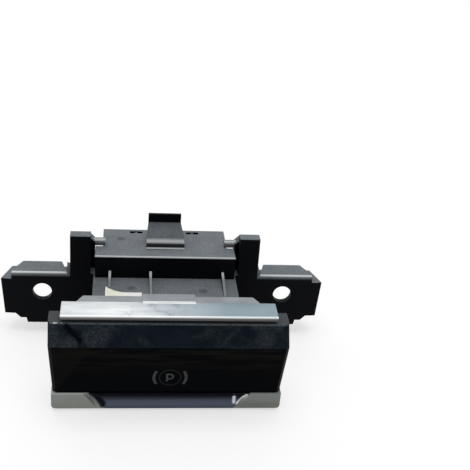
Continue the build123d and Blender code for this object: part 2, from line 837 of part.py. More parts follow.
# Paddle shell: ledge, bevel, main face and end walls
with BuildPart() as paddle_shell:
    with BuildSketch(Plane.YZ.offset(-paddle_half)):
        with BuildLine():
            Polyline(*paddle_outline(0, 0), close=True)
        make_face()
    extrude(amount=2 * paddle_half)
    for side in both_sides:
        with BuildSketch(Plane.XZ.offset(-brow_y + overcut)):
            with BuildLine():
                Polyline(
                    (side * paddle_half, ledge_z),
                    (side * (paddle_half + overcut), ledge_z),
                    (side * (paddle_half + overcut), chin_z),
                    (side * (paddle_half - paddle_taper), chin_z),
                    close=True,
                )
            make_face()
        extrude(amount=brow_y - ledge_back_y - 2 * overcut, mode=Mode.SUBTRACT)
    side_edges = [
        e for e in paddle_shell.edges()
        if e.center().Y < ledge_front_y and abs(e.center().X) > paddle_half - paddle_taper - slide_gap
    ]
    chamfer(side_edges, length=side_chamfer)
    with BuildSketch(Plane.YZ.offset(-paddle_half + wall + paddle_taper)):
        with BuildLine():
            Polyline(*paddle_outline(wall + overcut, wall + overcut), close=True)
        make_face()
        offset(amount=-wall, kind=Kind.INTERSECTION, mode=Mode.REPLACE)
    extrude(amount=2 * (paddle_half - wall - paddle_taper), mode=Mode.SUBTRACT)
    # Bosses that the carrier is screwed to
    with BuildSketch(inner_face.offset(-wall / 2)):
        with GridLocations(2 * boss_x, 2 * boss_offset, 2, 2):
            Rectangle(boss_w, boss_w)
    extrude(amount=wall / 2 + carrier_t)
    with BuildSketch(inner_face.offset(-wall / 2)):
        with GridLocations(2 * boss_x, 2 * boss_offset, 2, 2):
            Circle(screw_r + slide_gap / 2)
    extrude(amount=wall / 2 + carrier_t, mode=Mode.SUBTRACT)
save(paddle_shell, "paddle_shell")

# Finger scoop: a round trough along the grip, with ends that slant in towards its floor
grip_front_y = chin_y - grip_proud
scoop_low_z = grip_bottom_z + scoop_rim
scoop_half_h = (chin_z - scoop_low_z) / 2
scoop_r = (scoop_half_h ** 2 + scoop_depth ** 2) / (2 * scoop_depth)
with BuildPart() as finger_scoop:
    with BuildSketch(Plane.YZ.offset(-scoop_top_half)):
        with Locations((grip_front_y + scoop_depth - scoop_r, chin_z - scoop_half_h)):
            Circle(scoop_r)
    extrude(amount=2 * scoop_top_half)
    for side in both_sides:
        with BuildSketch(Plane.XY.offset(scoop_low_z - scoop_r)):
            with BuildLine():
                Polyline(
                    (side * scoop_top_half, grip_front_y),
                    (side * (scoop_top_half - scoop_run_out), grip_front_y + scoop_depth),
                    (side * scoop_top_half, grip_front_y + scoop_depth),
                    close=True,
                )
            make_face()
        extrude(amount=4 * scoop_r, mode=Mode.SUBTRACT)
        with BuildSketch(Plane.XZ.offset(-grip_front_y - scoop_depth)):
            with BuildLine():
                Polyline(
                    (side * scoop_top_half, chin_z),
                    (side * scoop_bottom_half, scoop_low_z),
                    (side * scoop_top_half, scoop_low_z),
                    close=True,
                )
            make_face()
        extrude(amount=2 * scoop_r, mode=Mode.SUBTRACT)

# Grip along the lower edge, with the finger scoop in its front
with BuildPart() as grip_trim:
    with BuildSketch(Plane.YZ.offset(-grip_half)):
        with BuildLine():
            Polyline(
                (grip_front_y, chin_z),
                (grip_front_y + grip_lean, grip_bottom_z + grip_edge),
                (grip_front_y + grip_lean + grip_edge, grip_bottom_z),
                (grip_back_y, grip_bottom_z),
                (grip_back_y, grip_bottom_z + grip_rim_t),
                (chin_y + 2 * wall, chin_z - grip_heel),
                (chin_y + 2 * wall + grip_tongue_t, chin_z),
                close=True,
            )
        make_face()
    extrude(amount=2 * grip_half)
    # Tongues that stand behind the carrier
    tongue_y = chin_y + wall * face_in[0] + carrier_t + slide_gap
    with BuildSketch(Plane.XY.offset(chin_z)):
        for side in both_sides:
            with Locations((side * grip_tongue_x, tongue_y + grip_tongue_t / 2)):
                Rectangle(grip_tongue_w, grip_tongue_t)
    extrude(amount=grip_tongue_h)
    # Lower corners, rounded as seen from the front
    for side in both_sides:
        with BuildSketch(Plane.XZ.offset(-grip_back_y)):
            with Locations((side * (grip_half - grip_round / 2), grip_bottom_z + grip_round / 2)):
                Rectangle(grip_round, grip_round)
            with Locations((side * (grip_half - grip_round), grip_bottom_z + grip_round)):
                Circle(grip_round, mode=Mode.SUBTRACT)
        extrude(amount=grip_back_y - grip_front_y, mode=Mode.SUBTRACT)
    add(finger_scoop.part, mode=Mode.SUBTRACT)
save(grip_trim, "grip_trim")

# Carrier inside the paddle: plate, hinge barrels, arms and the beam between them
with BuildPart() as paddle_carrier:
    plate_top = brow_to_chin / 2 - wall + root
    plate_low = brow_to_chin / 2 - slide_gap
    rib_high_z = brow_z - wall + root
    rib_high_y = face_mid_y + (rib_high_z - face_mid_z) * face_down[0] / face_down[1]
    with BuildSketch(inner_face):
        with Locations((0, (plate_low - plate_top) / 2)):
            Rectangle(2 * carrier_half, plate_low + plate_top)
    extrude(amount=carrier_t)
    for side in both_sides:
        barrel_in = inner_lug_x + lug_t + free_gap
        barrel_out = tower_half - lug_t - free_gap
        with BuildSketch(Plane.YZ.offset(side * barrel_in)):
            with Locations((hinge_y, hinge_z)):
                Circle(barrel_r)
        extrude(amount=side * (barrel_out - barrel_in))
        # Ribs from the plate to the barrel
        for rib_x in (barrel_in + carrier_rib_t / 2, arm_x, barrel_out - carrier_rib_t / 2):
            with BuildSketch(Plane.YZ.offset(side * rib_x - carrier_rib_t / 2)):
                with BuildLine():
                    Polyline(
                        (face_mid_y + root, face_mid_z),
                        (rib_high_y + root, rib_high_z),
                        (hinge_y, hinge_z + barrel_r - root),
                        (hinge_y + barrel_r - root, hinge_z),
                        (hinge_y, hinge_z - barrel_r + root),
                        (face_mid_y + carrier_rib_heel, arm_bottom_z),
                        (face_mid_y + carrier_t / 2, arm_bottom_z),
                        close=True,
                    )
                make_face()
            extrude(amount=carrier_rib_t)
        # Arm into the neck
        with BuildSketch(Plane.XY.offset(arm_bottom_z)):
            with Locations((side * arm_x, (face_mid_y + carrier_t / 2 + arm_end_y) / 2)):
                Rectangle(arm_w, arm_end_y - face_mid_y - carrier_t / 2)
        extrude(amount=arm_top_z - arm_bottom_z)
    with BuildSketch(Plane.XY.offset(arm_bottom_z)):
        with Locations((0, stop_y)):
            Rectangle(2 * arm_x, beam_w)
    extrude(amount=arm_top_z - arm_bottom_z)
    with BuildSketch(Plane.XY.offset(arm_bottom_z - magnet_boss_drop)):
        with Locations((0, stop_y)):
            Circle(magnet_boss_r)
    extrude(amount=arm_top_z - arm_bottom_z + magnet_boss_drop)
    with BuildSketch(Plane.XY.offset(arm_bottom_z - magnet_boss_drop)):
        with Locations((0, stop_y)):
            Circle(magnet_r + slide_gap / 2)
    extrude(amount=magnet_h, mode=Mode.SUBTRACT)
    # Bore for the hinge rod
    with BuildSketch(Plane.YZ.offset(-tower_half)):
        with Locations((hinge_y, hinge_z)):
            Circle(rod_r + running_gap)
    extrude(amount=2 * tower_half, mode=Mode.SUBTRACT)
    # Window for the diffuser and holes for the shell's bosses
    symbol_offset = (face_mid_z - symbol_z) / -face_down[1]
    with BuildSketch(inner_face):
        with Locations((0, symbol_offset)):
            Rectangle(diffuser_w + 2 * slide_gap, diffuser_h + 2 * slide_gap)
        with GridLocations(2 * boss_x, 2 * boss_offset, 2, 2):
            Rectangle(boss_w + 2 * slide_gap, boss_w + 2 * slide_gap)
    extrude(amount=carrier_t, mode=Mode.SUBTRACT)
save(paddle_carrier, "paddle_carrier")

# Screws that hold the carrier to the shell, as one group
with BuildPart() as paddle_screws:
    with BuildSketch(inner_face.offset(carrier_t)):
        with GridLocations(2 * boss_x, 2 * boss_offset, 2, 2):
            RegularPolygon(paddle_head_r, head_sides)
    extrude(amount=paddle_head_h)
    with BuildSketch(inner_face.offset(carrier_t)):
        with GridLocations(2 * boss_x, 2 * boss_offset, 2, 2):
            RegularPolygon(screw_r, shank_sides)
    extrude(amount=-(carrier_t + wall / 2 - slide_gap))
save(paddle_screws, "paddle_screws")

# Diffuser behind the lit symbol
with BuildPart() as symbol_diffuser:
    with BuildSketch(inner_face):
        with Locations((0, symbol_offset)):
            Rectangle(diffuser_w, diffuser_h)
    extrude(amount=diffuser_t)
save(symbol_diffuser, "symbol_diffuser")

# Light pipe: up from the lamp, then forwards through the neck's front wall
with BuildPart() as light_pipe:
    pipe_back_y = pipe_leg_y + pipe_w / 2
    with BuildSketch(Plane.YZ.offset(-pipe_w / 2)):
        with BuildLine():
            Polyline(
                (pipe_front_y, pipe_low_z),
                (pipe_front_y, pipe_high_z),
                (pipe_back_y - pipe_w, pipe_high_z),
                (pipe_back_y, pipe_low_z),
                (pipe_back_y, board_top_z + lamp_size[2] + free_gap),
                (pipe_back_y - pipe_w, board_top_z + lamp_size[2] + free_gap),
                (pipe_back_y - pipe_w, pipe_low_z),
                close=True,
            )
        make_face()
    extrude(amount=pipe_w)
save(light_pipe, "light_pipe")

# Magnet in the beam
with BuildPart() as sensor_magnet:
    with BuildSketch(Plane.XY.offset(arm_bottom_z - magnet_boss_drop)):
        with Locations((0, stop_y)):
            Circle(magnet_r)
    extrude(amount=magnet_h)
save(sensor_magnet, "sensor_magnet")


def coil(low_z, high_z, side, turns):
    """A coil spring between two heights, of short straight lengths, its wire just inside both."""
    rise = (high_z - low_z - spring_wire_t - 2 * slide_gap) / turns
    spots = []
    for step in range(turns * steps_per_turn + 1):
        turned = 2 * pi * step / steps_per_turn
        spot_x = side * arm_x + spring_r * cos(turned)
        spot_y = spring_y + spring_r * sin(turned)
        spot_z = low_z + slide_gap + spring_wire_t / 2 + rise * step / steps_per_turn
        spots.append((spot_x, spot_y, spot_z))
    with BuildPart() as spring:
        with BuildLine():
            wire = Polyline(*spots)
        with BuildSketch(Plane(origin=wire @ 0, x_dir=(1, 0, 0), z_dir=wire % 0)):
            Rectangle(spring_wire_t, spring_wire_t)
        sweep(transition=Transition.RIGHT)
    return spring


# Centring springs above and below each arm
for side, side_name in ((-1, "left"), (1, "right")):
    lower_spring = coil(base_inner_z, arm_bottom_z, side, lower_turns)
    save(lower_spring, f"lower_spring_{side_name}")
    upper_spring = coil(arm_top_z, ceiling_z, side, upper_turns)
    save(upper_spring, f"upper_spring_{side_name}")

# Rubber pads that the arms meet at the end of a pull and of a push
with BuildPart() as pull_stop_pads:
    pad_high = swung(arm_end_y, arm_bottom_z, -pull_deg)[1] - pad_clearance
    with BuildSketch(Plane.XY.offset(pull_post_top_z)):
        with Locations((-arm_x, stop_y), (arm_x, stop_y)):
            Rectangle(pad_size, pad_size)
    extrude(amount=pad_high - pull_post_top_z)
save(pull_stop_pads, "pull_stop_pads")

with BuildPart() as push_stop_pads:
    pad_low = swung(arm_end_y, arm_top_z, push_deg)[1] + pad_clearance
    with BuildSketch(Plane.XY.offset(ceiling_z)):
        with Locations((-arm_x, stop_y), (arm_x, stop_y)):
            Rectangle(pad_size, pad_size)
    extrude(amount=-(ceiling_z - pad_low))
save(push_stop_pads, "push_stop_pads")

# Circuit board, narrow between the arms and wide under the connector
with BuildPart() as circuit_board:
    with BuildSketch(Plane.XY.offset(board_bottom_z)):
        with Locations((0, (board_front_y + board_step_y) / 2)):
            Rectangle(2 * board_front_half, board_step_y - board_front_y)
        with Locations((0, (board_step_y + board_back_y) / 2)):
            Rectangle(2 * board_rear_half, board_back_y - board_step_y)
        for side in both_sides:
            with Locations((side * rear_standoff[0], rear_standoff[1])):
                Circle(board_screw_r + 2 * slide_gap, mode=Mode.SUBTRACT)
    extrude(amount=board_t)
save(circuit_board, "circuit_board")

# Screws that hold the circuit board to the rear housing, as one group
with BuildPart() as board_screws:
    for side in both_sides:
        with BuildSketch(Plane.XY.offset(board_top_z)):
            with Locations((side * rear_standoff[0], rear_standoff[1])):
                RegularPolygon(board_head_r, head_sides)
        extrude(amount=board_head_h)
        with BuildSketch(Plane.XY.offset(board_top_z)):
            with Locations((side * rear_standoff[0], rear_standoff[1])):
                RegularPolygon(board_screw_r, shank_sides)
        extrude(amount=rear_floor_z + slide_gap - board_top_z)
save(board_screws, "board_screws")


def board_part(name, size, spots):
    """A group of equal rectangular components that stand on the board."""
    length, width, height = size
    with BuildPart() as group:
        with BuildSketch(Plane.XY.offset(board_top_z)):
            with Locations(*spots):
                Rectangle(length, width)
        extrude(amount=height)
    save(group, name)


capacitor_spots = [
    (side * capacitor_x, row_y)
    for side in both_sides
    for row_y in (chip_y - capacitor_pitch, chip_y)
]
board_part("hall_sensors", hall_size, [(-hall_x, stop_y), (hall_x, stop_y)])
board_part("symbol_lamp", lamp_size, [(0, pipe_leg_y)])
board_part("control_chip", chip_size, [(0, chip_y)])
board_part("board_capacitors", capacitor_size, capacitor_spots)

# Connector header on the board, its shroud passing through the rear cover
with BuildPart() as connector_header:
    with BuildSketch(Plane.XZ.offset(-header_mouth_y)):
        with Locations((0, board_top_z + header_h / 2)):
            Rectangle(2 * header_half, header_h)
    extrude(amount=header_mouth_y - header_front_y)
    socket_w = 2 * (header_half - header_wall)
    socket_h = header_h - 2 * header_wall
    with BuildSketch(Plane.XZ.offset(-header_mouth_y)):
        with Locations((0, board_top_z + header_h / 2)):
            Rectangle(socket_w, socket_h)
    extrude(amount=header_mouth_y - socket_back_y - header_wall, mode=Mode.SUBTRACT)
    # Open front, where the pins turn down to the board
    with BuildSketch(Plane.XZ.offset(-socket_back_y)):
        with Locations((0, board_top_z + (header_h - header_wall) / 2)):
            Rectangle(socket_w, header_h - header_wall)
    extrude(amount=socket_back_y - header_front_y, mode=Mode.SUBTRACT)
    with BuildSketch(Plane.XZ.offset(-socket_back_y - header_wall - overcut)):
        for row_z, leg_y in pin_rows:
            with Locations((0, row_z)):
                with GridLocations(pin_pitch, 1, pins_per_row, 1):
                    Rectangle(pin_size + slide_gap, pin_size + slide_gap)
    extrude(amount=header_wall + 2 * overcut, mode=Mode.SUBTRACT)
save(connector_header, "connector_header")

# Bent pins of the connector, as one group
with BuildPart() as connector_pins:
    for row_z, leg_y in pin_rows:
        for n in range(pins_per_row):
            pin_x = (n - (pins_per_row - 1) / 2) * pin_pitch
            with BuildSketch(Plane.YZ.offset(pin_x - pin_size / 2)):
                with BuildLine():
                    Polyline(
                        (pin_tip_y, row_z - pin_size / 2),
                        (pin_tip_y, row_z + pin_size / 2),
                        (leg_y - pin_size / 2, row_z + pin_size / 2),
                        (leg_y - pin_size / 2, board_top_z),
                        (leg_y + pin_size / 2, board_top_z),
                        (leg_y + pin_size / 2, row_z - pin_size / 2),
                        close=True,
                    )
                make_face()
            extrude(amount=pin_size)
save(connector_pins, "connector_pins")
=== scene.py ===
"""Electric parking brake switch: its finishes, lit symbol and small parts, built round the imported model.

The file is laid out as an add-on and run as a script. Lengths are in metres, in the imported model's frame:
X runs along the ears, Y from the driver to the back, Z is up.
"""

import json
from math import pi, radians

import bmesh
import bpy
import numpy as np
from bpy.props import FloatProperty, FloatVectorProperty, PointerProperty
from mathutils import Matrix, Vector


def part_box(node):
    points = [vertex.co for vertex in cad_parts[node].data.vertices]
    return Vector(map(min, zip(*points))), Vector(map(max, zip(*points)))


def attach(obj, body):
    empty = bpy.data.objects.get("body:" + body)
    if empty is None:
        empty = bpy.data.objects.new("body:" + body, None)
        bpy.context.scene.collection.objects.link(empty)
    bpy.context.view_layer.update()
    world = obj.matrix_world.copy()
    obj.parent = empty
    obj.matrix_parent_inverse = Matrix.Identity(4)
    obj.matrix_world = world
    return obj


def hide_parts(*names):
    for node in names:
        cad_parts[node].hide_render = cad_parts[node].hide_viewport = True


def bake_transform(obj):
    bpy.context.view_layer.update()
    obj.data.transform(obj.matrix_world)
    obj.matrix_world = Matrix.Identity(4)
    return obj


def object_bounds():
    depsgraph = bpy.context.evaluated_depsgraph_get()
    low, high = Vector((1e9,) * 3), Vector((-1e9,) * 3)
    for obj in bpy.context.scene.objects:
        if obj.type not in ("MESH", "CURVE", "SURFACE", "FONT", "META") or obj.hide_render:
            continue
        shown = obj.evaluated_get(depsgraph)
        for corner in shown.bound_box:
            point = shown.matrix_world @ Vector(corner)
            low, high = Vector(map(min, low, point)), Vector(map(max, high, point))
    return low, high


bl_info = {
    "name": "Parking Brake Switch",
    "version": (1, 0, 0),
    "blender": (4, 5, 0),
    "location": "3D View > Sidebar > Brake Switch",
    "description": "Finishes, symbol and small parts of an electric parking brake switch",
    "category": "Add Mesh",
}

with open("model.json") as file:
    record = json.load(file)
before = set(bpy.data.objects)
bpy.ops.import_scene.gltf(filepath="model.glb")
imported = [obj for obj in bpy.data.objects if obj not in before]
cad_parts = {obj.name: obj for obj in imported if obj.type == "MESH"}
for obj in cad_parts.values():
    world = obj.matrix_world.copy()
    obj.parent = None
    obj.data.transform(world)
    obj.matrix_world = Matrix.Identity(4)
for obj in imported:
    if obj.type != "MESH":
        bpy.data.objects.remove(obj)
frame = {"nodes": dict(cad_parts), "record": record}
cad_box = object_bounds()

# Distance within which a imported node's loose corners are the same corner, and the angles that count as flat
# and as an edge
WELD = 2e-6
FLAT = radians(0.6)
EDGE = radians(32)
# Width of the round on the edges of small parts, and of what stands on the circuit board
SMALL_EDGE = 0.0001
BOARD_EDGE = 0.00008
# How far the floor lies below the model, so that no two faces share a plane, and how far it reaches
FLOOR_GAP = 0.00005
FLOOR_REACH = 6.0


# What a user can change

def paint(label, description, *colour):
    """A colour of a finish."""
    return FloatVectorProperty(
        name=label, description=description, subtype="COLOR", size=3, min=0, max=1, default=colour)


def length(label, description, value):
    """A size, at least 0."""
    return FloatProperty(
        name=label, description=description, subtype="DISTANCE", unit="LENGTH", min=0, default=value)


def position(label, description, value):
    """A place along one axis."""
    return FloatProperty(
        name=label, description=description, subtype="DISTANCE", unit="LENGTH", default=value)


def angle(label, description, degrees):
    """An angle, whose default is given in degrees."""
    return FloatProperty(
        name=label, description=description, subtype="ANGLE", unit="ROTATION", default=radians(degrees))


def strength(label, description, value, unit="NONE"):
    """A strength or power, at least 0."""
    return FloatProperty(name=label, description=description, unit=unit, min=0, default=value)


class HousingLook(bpy.types.PropertyGroup):
    """The black mouldings: housings, covers and connector."""

    colour: paint("Plastic", "Colour of the black mouldings", 0.0038, 0.0043, 0.0058)
    # Painted sheen: the grey that the overhead light gives the black plastic's top faces
    top_sheen: paint("Tops", "Colour of the faces that point up", 0.163, 0.181, 0.197)
    # Painted highlight: the pale line that the light draws along the curve between a top and a front face
    rounds: paint("Rounds", "Colour of the rounds between a top and a front face", 0.74, 0.77, 0.77)
    plate_round: length("Plate round", "Width of the round along the plate's front edge", 0.0008)
    grain: length("Grain", "Size of the moulded texture's bumps", 0.00045)
    edge: length("Edge round", "Width of the small round on the mouldings' edges", 0.00022)


class PaddleLook(bpy.types.PropertyGroup):
    """The glossy shell of the paddle."""

    colour: paint("Gloss black", "Colour of the paddle's shell", 0.0014, 0.0018, 0.0024)
    smear: paint("Smear", "Colour of the dried smears on the main face", 0.0072, 0.0066, 0.0058)
    # Painted sheen: the bluish tone that the slanted face takes from the overhead light, over the gloss black
    bevel: paint("Bevel", "Colour of the slanted face above the main face", 0.0050, 0.0085, 0.0135)
    smudge: paint("Smudge", "Colour of the smudges on the slanted face", 0.040, 0.048, 0.056)
    # Painted sheen: the grey that the up-facing face under the strip takes from the light
    ledge: paint("Ledge", "Colour of the ledge under the bright strip", 0.075, 0.082, 0.088)
    edge: length("Edge round", "Width of the small round on the shell's edges", 0.00025)


class TrimLook(bpy.types.PropertyGroup):
    """The bright strip, the grey flange behind it and the satin grip."""

    # Painted reflection: the plating shows pale at the left and bluish at the right from what it reflects
    strip_reflection_left: paint("Strip, left", "Colour of the bright strip's left part", 0.745, 0.765, 0.80)
    strip_reflection_right: paint("Strip, right", "Colour of the bright strip's right part", 0.225, 0.308, 0.358)
    strip_shade: paint("Strip shade", "Darker colour of the strip's smears", 0.24, 0.28, 0.32)
    # Painted shade: the dark that the turned down front shows in place of a reflection
    lip: paint("Lip", "Colour of the strip's turned down lip", 0.12, 0.12, 0.115)
    flange: paint("Flange", "Colour of the grey flange", 0.27, 0.29, 0.31)
    grip: paint("Grip", "Colour of the satin grip", 0.30, 0.31, 0.28)
    # Painted reflection and shade: the bluish tone inside the finger scoop, darker towards its top
    hollow: paint("Grip hollow", "Bluish colour inside the finger scoop", 0.104, 0.122, 0.168)
    edge: length("Edge round", "Width of the small round on the trim's edges", 0.0002)


class SymbolLook(bpy.types.PropertyGroup):
    """The printed parking symbol: a letter in a ring between two brackets."""

    across: position("Across", "Place of the symbol's centre along the paddle", 0.0005)
    height: position("Height", "Height of the symbol's centre", -0.0030)
    ring_radius: length("Ring radius", "Radius of the ring round the letter", 0.00352)
    ring_width: length("Ring width", "Width of the ring's line", 0.00034)
    bracket_radius: length("Bracket radius", "Radius of the two bracket lines", 0.0053)
    bracket_width: length("Bracket width", "Width of the bracket lines", 0.0009)
    bracket_sweep: angle("Bracket sweep", "Half the angle that each bracket covers", 34)
    letter_height: length("Letter height", "Height of the letter", 0.0036)
    letter_width: length("Letter width", "Width of the letter", 0.0026)
    letter_stroke: length("Letter stroke", "Width of the letter's lines", 0.00062)
    print_height: length("Print height", "How far the print stands out of the face", 0.00003)
    colour: paint("Print", "Colour of the brackets and the letter", 0.068, 0.069, 0.072)
    ring_colour: paint("Ring print", "Colour of the ring, which is thinner in print", 0.019, 0.0195, 0.020)


class SlipLook(bpy.types.PropertyGroup):
    """The blank slip of paper that lies on the deck."""

    left: position("Left end", "Place of the slip's left end", -0.0214)
    length: length("Length", "Length of the slip", 0.0128)
    front: position("Front edge", "Place of the slip's front edge", -0.0300)
    depth: length("Depth", "Depth of the slip from front to back", 0.0164)
    lift: length("Lift", "How far the left end stands off the deck", 0.0019)
    thickness: length("Thickness", "Thickness of the paper", 0.00012)
    colour: paint("Paper", "Colour of the paper", 0.95, 0.955, 0.80)


class SmallPartsLook(bpy.types.PropertyGroup):
    """Springs, screws, rod, clips, stops and what stands on the circuit board."""

    wire: length("Wire radius", "Radius of the springs' wire", 0.00035)
    recess: length("Recess radius", "Reach of the cross recess in the screw heads", 0.0012)
    recess_depth: length("Recess depth", "Depth of the cross recess", 0.0006)
    pitch: length("Thread pitch", "Distance between the thread's ridges", 0.0009)
    zinc: paint("Zinc", "Colour of the zinc plated steel", 0.55, 0.56, 0.58)
    spring: paint("Spring steel", "Colour of the drawn wire", 0.42, 0.42, 0.44)
    laminate: paint("Laminate", "Colour of the circuit board's lacquer", 0.012, 0.11, 0.045)
    pins: paint("Pins", "Colour of the tinned pins", 0.66, 0.64, 0.56)


class StageLook(bpy.types.PropertyGroup):
    """Camera, floor and studio light."""

    camera_place: FloatVectorProperty(
        name="Camera place", description="Where the camera stands",
        subtype="XYZ", unit="LENGTH", size=3, default=(-0.016945, -0.30727, 0.179235))
    yaw: angle("Yaw", "Camera's turn from straight ahead towards the right", 7.756)
    pitch: angle("Pitch", "Camera's tilt downwards", 26.475)
    roll: angle("Roll", "Camera's roll about its line of sight", -4.621)
    lens: FloatProperty(
        name="Lens", description="Focal length for a sensor 36 mm wide, in millimetres",
        min=1, default=72.79)
    floor: paint("Floor", "Colour of the pale floor", 0.96, 0.96, 0.96)
    key_power: strength("Back light", "Power of the large light behind and above", 3.0, "POWER")
    top_power: strength("Top light", "Power of the overhead light", 7.5, "POWER")
    zenith: strength("Light from above", "Strength of the surround's light straight above", 0.45)
    horizon: strength("Light from the sides", "Strength of the surround's light at the horizon", 0.35)
    floor_glow: strength("Floor glow", "What the camera sees added to the floor, so that it is white", 0.6)


# Node trees

def feed(value, socket):
    """Set a socket to a value, or link the output that feeds it."""
    if isinstance(value, bpy.types.NodeSocket):
        socket.id_data.links.new(value, socket)
    elif socket.type == "RGBA":
        socket.default_value = (*value[:3], 1.0)
    else:
        socket.default_value = value


def put(tree, kind, inputs=None, **settings):
    """Add a shader node. Settings are its properties; inputs are values or the outputs that feed it."""
    node = tree.nodes.new("ShaderNode" + kind)
    node.location = (200 * (len(tree.nodes) % 9), -260 * (len(tree.nodes) // 9))
    for key, value in settings.items():
        setattr(node, key, value)
    for key, value in (inputs or {}).items():
        feed(value, node.inputs[key])
    return node


def tree_of(*values):
    """The node tree of the first output among some values."""
    return next(value.id_data for value in values if isinstance(value, bpy.types.NodeSocket))


def calc(operation, *values):
    """Arithmetic on values and outputs: on the first two, then on the result and the next one."""
    result = values[0]
    for value in values[1:]:
        result = put(tree_of(*values), "Math", {0: result, 1: value}, operation=operation).outputs[0]
    return result


def times(*values):
    """The product of values and outputs."""
    return calc("MULTIPLY", *values)


def size_of(value):
    """A value without its sign."""
    return calc("ABSOLUTE", value, 0.0)


def calc_vector(operation, first, second):
    """One step of arithmetic on vectors. A dot product or distance gives a value, and others a vector."""
    inputs = {0: first, "Scale" if operation == "SCALE" else 1: second}
    node = put(tree_of(first, second), "VectorMath", inputs, operation=operation)
    return node.outputs["Value" if operation in ("DOT_PRODUCT", "DISTANCE") else "Vector"]


def ramp(value, low, high, to_low=0.0, to_high=1.0):
    """Take a value from one range to another with soft ends."""
    inputs = {"Value": value, "From Min": low, "From Max": high, "To Min": to_low, "To Max": to_high}
    return put(value.id_data, "MapRange", inputs, interpolation_type="SMOOTHSTEP").outputs["Result"]


def mix(share, first, second):
    """Mix two values by a share from 0 to 1."""
    return put(share.id_data, "Mix", {0: share, 2: first, 3: second}).outputs[0]


def blend(share, first, second):
    """Mix two colours by a share from 0 to 1."""
    return put(share.id_data, "Mix", {0: share, 6: first, 7: second}, data_type="RGBA").outputs[2]


def shade(colour, share, most=1.0):
    """A colour made darker or paler, up to a palest value."""
    return tuple(min(most, share * value) for value in colour)


def colours_along(value, low, high, colours):
    """Colours set evenly along a value from low to high and blended in between."""
    span = {"Value": value, "From Min": low, "From Max": high}
    share = put(value.id_data, "MapRange", span).outputs["Result"]
    node = put(value.id_data, "ValToRGB", {"Fac": share})
    stops = node.color_ramp.elements
    for number, colour in enumerate(colours[1:-1], start=1):
        stops.new(number / (len(colours) - 1)).color = (*colour, 1)
    stops[0].color = (*colours[0], 1)
    stops[-1].color = (*colours[-1], 1)
    return node.outputs["Color"]


def object_place(tree):
    """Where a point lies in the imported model's frame."""
    return put(tree, "TexCoord").outputs["Object"]


def apart(vector):
    """The X, Y and Z of a vector."""
    return put(vector.id_data, "SeparateXYZ", {0: vector}).outputs


def noise(place, scale, detail, **more):
    """Noise from 0 to 1 round 0.5, with a scale in waves per metre."""
    inputs = {"Vector": place, "Scale": scale, "Detail": detail, **more}
    return put(place.id_data, "TexNoise", inputs).outputs["Fac"]


def drawn_out(place, share):
    """A place whose X counts for a share, so that a pattern on it is drawn out along X."""
    return put(place.id_data, "Mapping", {"Vector": place, "Scale": (share, 1.0, 1.0)}).outputs[0]


def new_group(name, inputs, outputs):
    """An empty node group, with what it is given by name and the sockets of its float results."""
    group = bpy.data.node_groups.new(name, "ShaderNodeTree")
    for label, value in inputs.items():
        kind = "NodeSocketVector" if isinstance(value, tuple) else "NodeSocketFloat"
        socket = group.interface.new_socket(name=label, in_out="INPUT", socket_type=kind)
        socket.default_value = value
    for label in outputs:
        group.interface.new_socket(name=label, in_out="OUTPUT", socket_type="NodeSocketFloat")
    given = group.nodes.new("NodeGroupInput").outputs
    results = group.nodes.new("NodeGroupOutput").inputs
    return group, given, results


def grain_group():
    """Moulded texture: fine noise and pits as a height, and a slow change of tone."""
    group, given, results = new_group("Moulded grain", {"Size": 0.0004}, ("Height", "Tone"))
    place = object_place(group)
    per_metre = calc("DIVIDE", 1.0, given["Size"])
    pits = put(group, "TexVoronoi", {"Vector": place, "Scale": times(per_metre, 0.55)}).outputs["Distance"]
    feed(calc("ADD", times(noise(place, per_metre, 3.0), 0.6), times(pits, 0.4)), results["Height"])
    feed(ramp(noise(place, 140.0, 3.0), 0.3, 0.7), results["Tone"])
    return group


def facing_group():
    """Which way a face looks: Up is 1 on top faces, where a painted sheen goes, Forward is the lean to the
    front, Edge a round's start, where a painted highlight goes.
    """
    group, _, results = new_group("Facing", {}, ("Up", "Edge", "Forward"))
    parts = apart(put(group, "TexCoord").outputs["Normal"])
    forward = times(parts["Y"], -1.0)
    band = times(ramp(forward, 0.04, 0.14), ramp(forward, 0.34, 0.62, 1.0, 0.0), ramp(parts["Z"], 0.3, 0.6))
    feed(ramp(parts["Z"], 0.35, 0.92), results["Up"])
    feed(band, results["Edge"])
    feed(forward, results["Forward"])
    return group


def line_group():
    """A mark along a straight line: 1 close to it and 0 beyond the width, in the directions that Plane keeps.

    The nearest point's share of the line is the offset from the start dotted with the span, over the span
    dotted with itself, kept from 0 to 1."""
    inputs = {"Start": (0.0, 0.0, 0.0), "End": (0.0, 0.0, 0.0), "Plane": (1.0, 0.0, 1.0), "Width": 0.001}
    group, given, results = new_group("Line mark", inputs, ("Mask",))
    offset = calc_vector("SUBTRACT", object_place(group), given["Start"])
    offset = calc_vector("MULTIPLY", offset, given["Plane"])
    span = calc_vector("SUBTRACT", given["End"], given["Start"])
    reach = calc("DIVIDE", calc_vector("DOT_PRODUCT", offset, span), calc_vector("DOT_PRODUCT", span, span))
    share = put(group, "Clamp", {"Value": reach}).outputs[0]
    away = calc_vector("DISTANCE", offset, calc_vector("SCALE", span, share))
    feed(ramp(away, times(given["Width"], 0.35), given["Width"], 1.0, 0.0), results["Mask"])
    return group


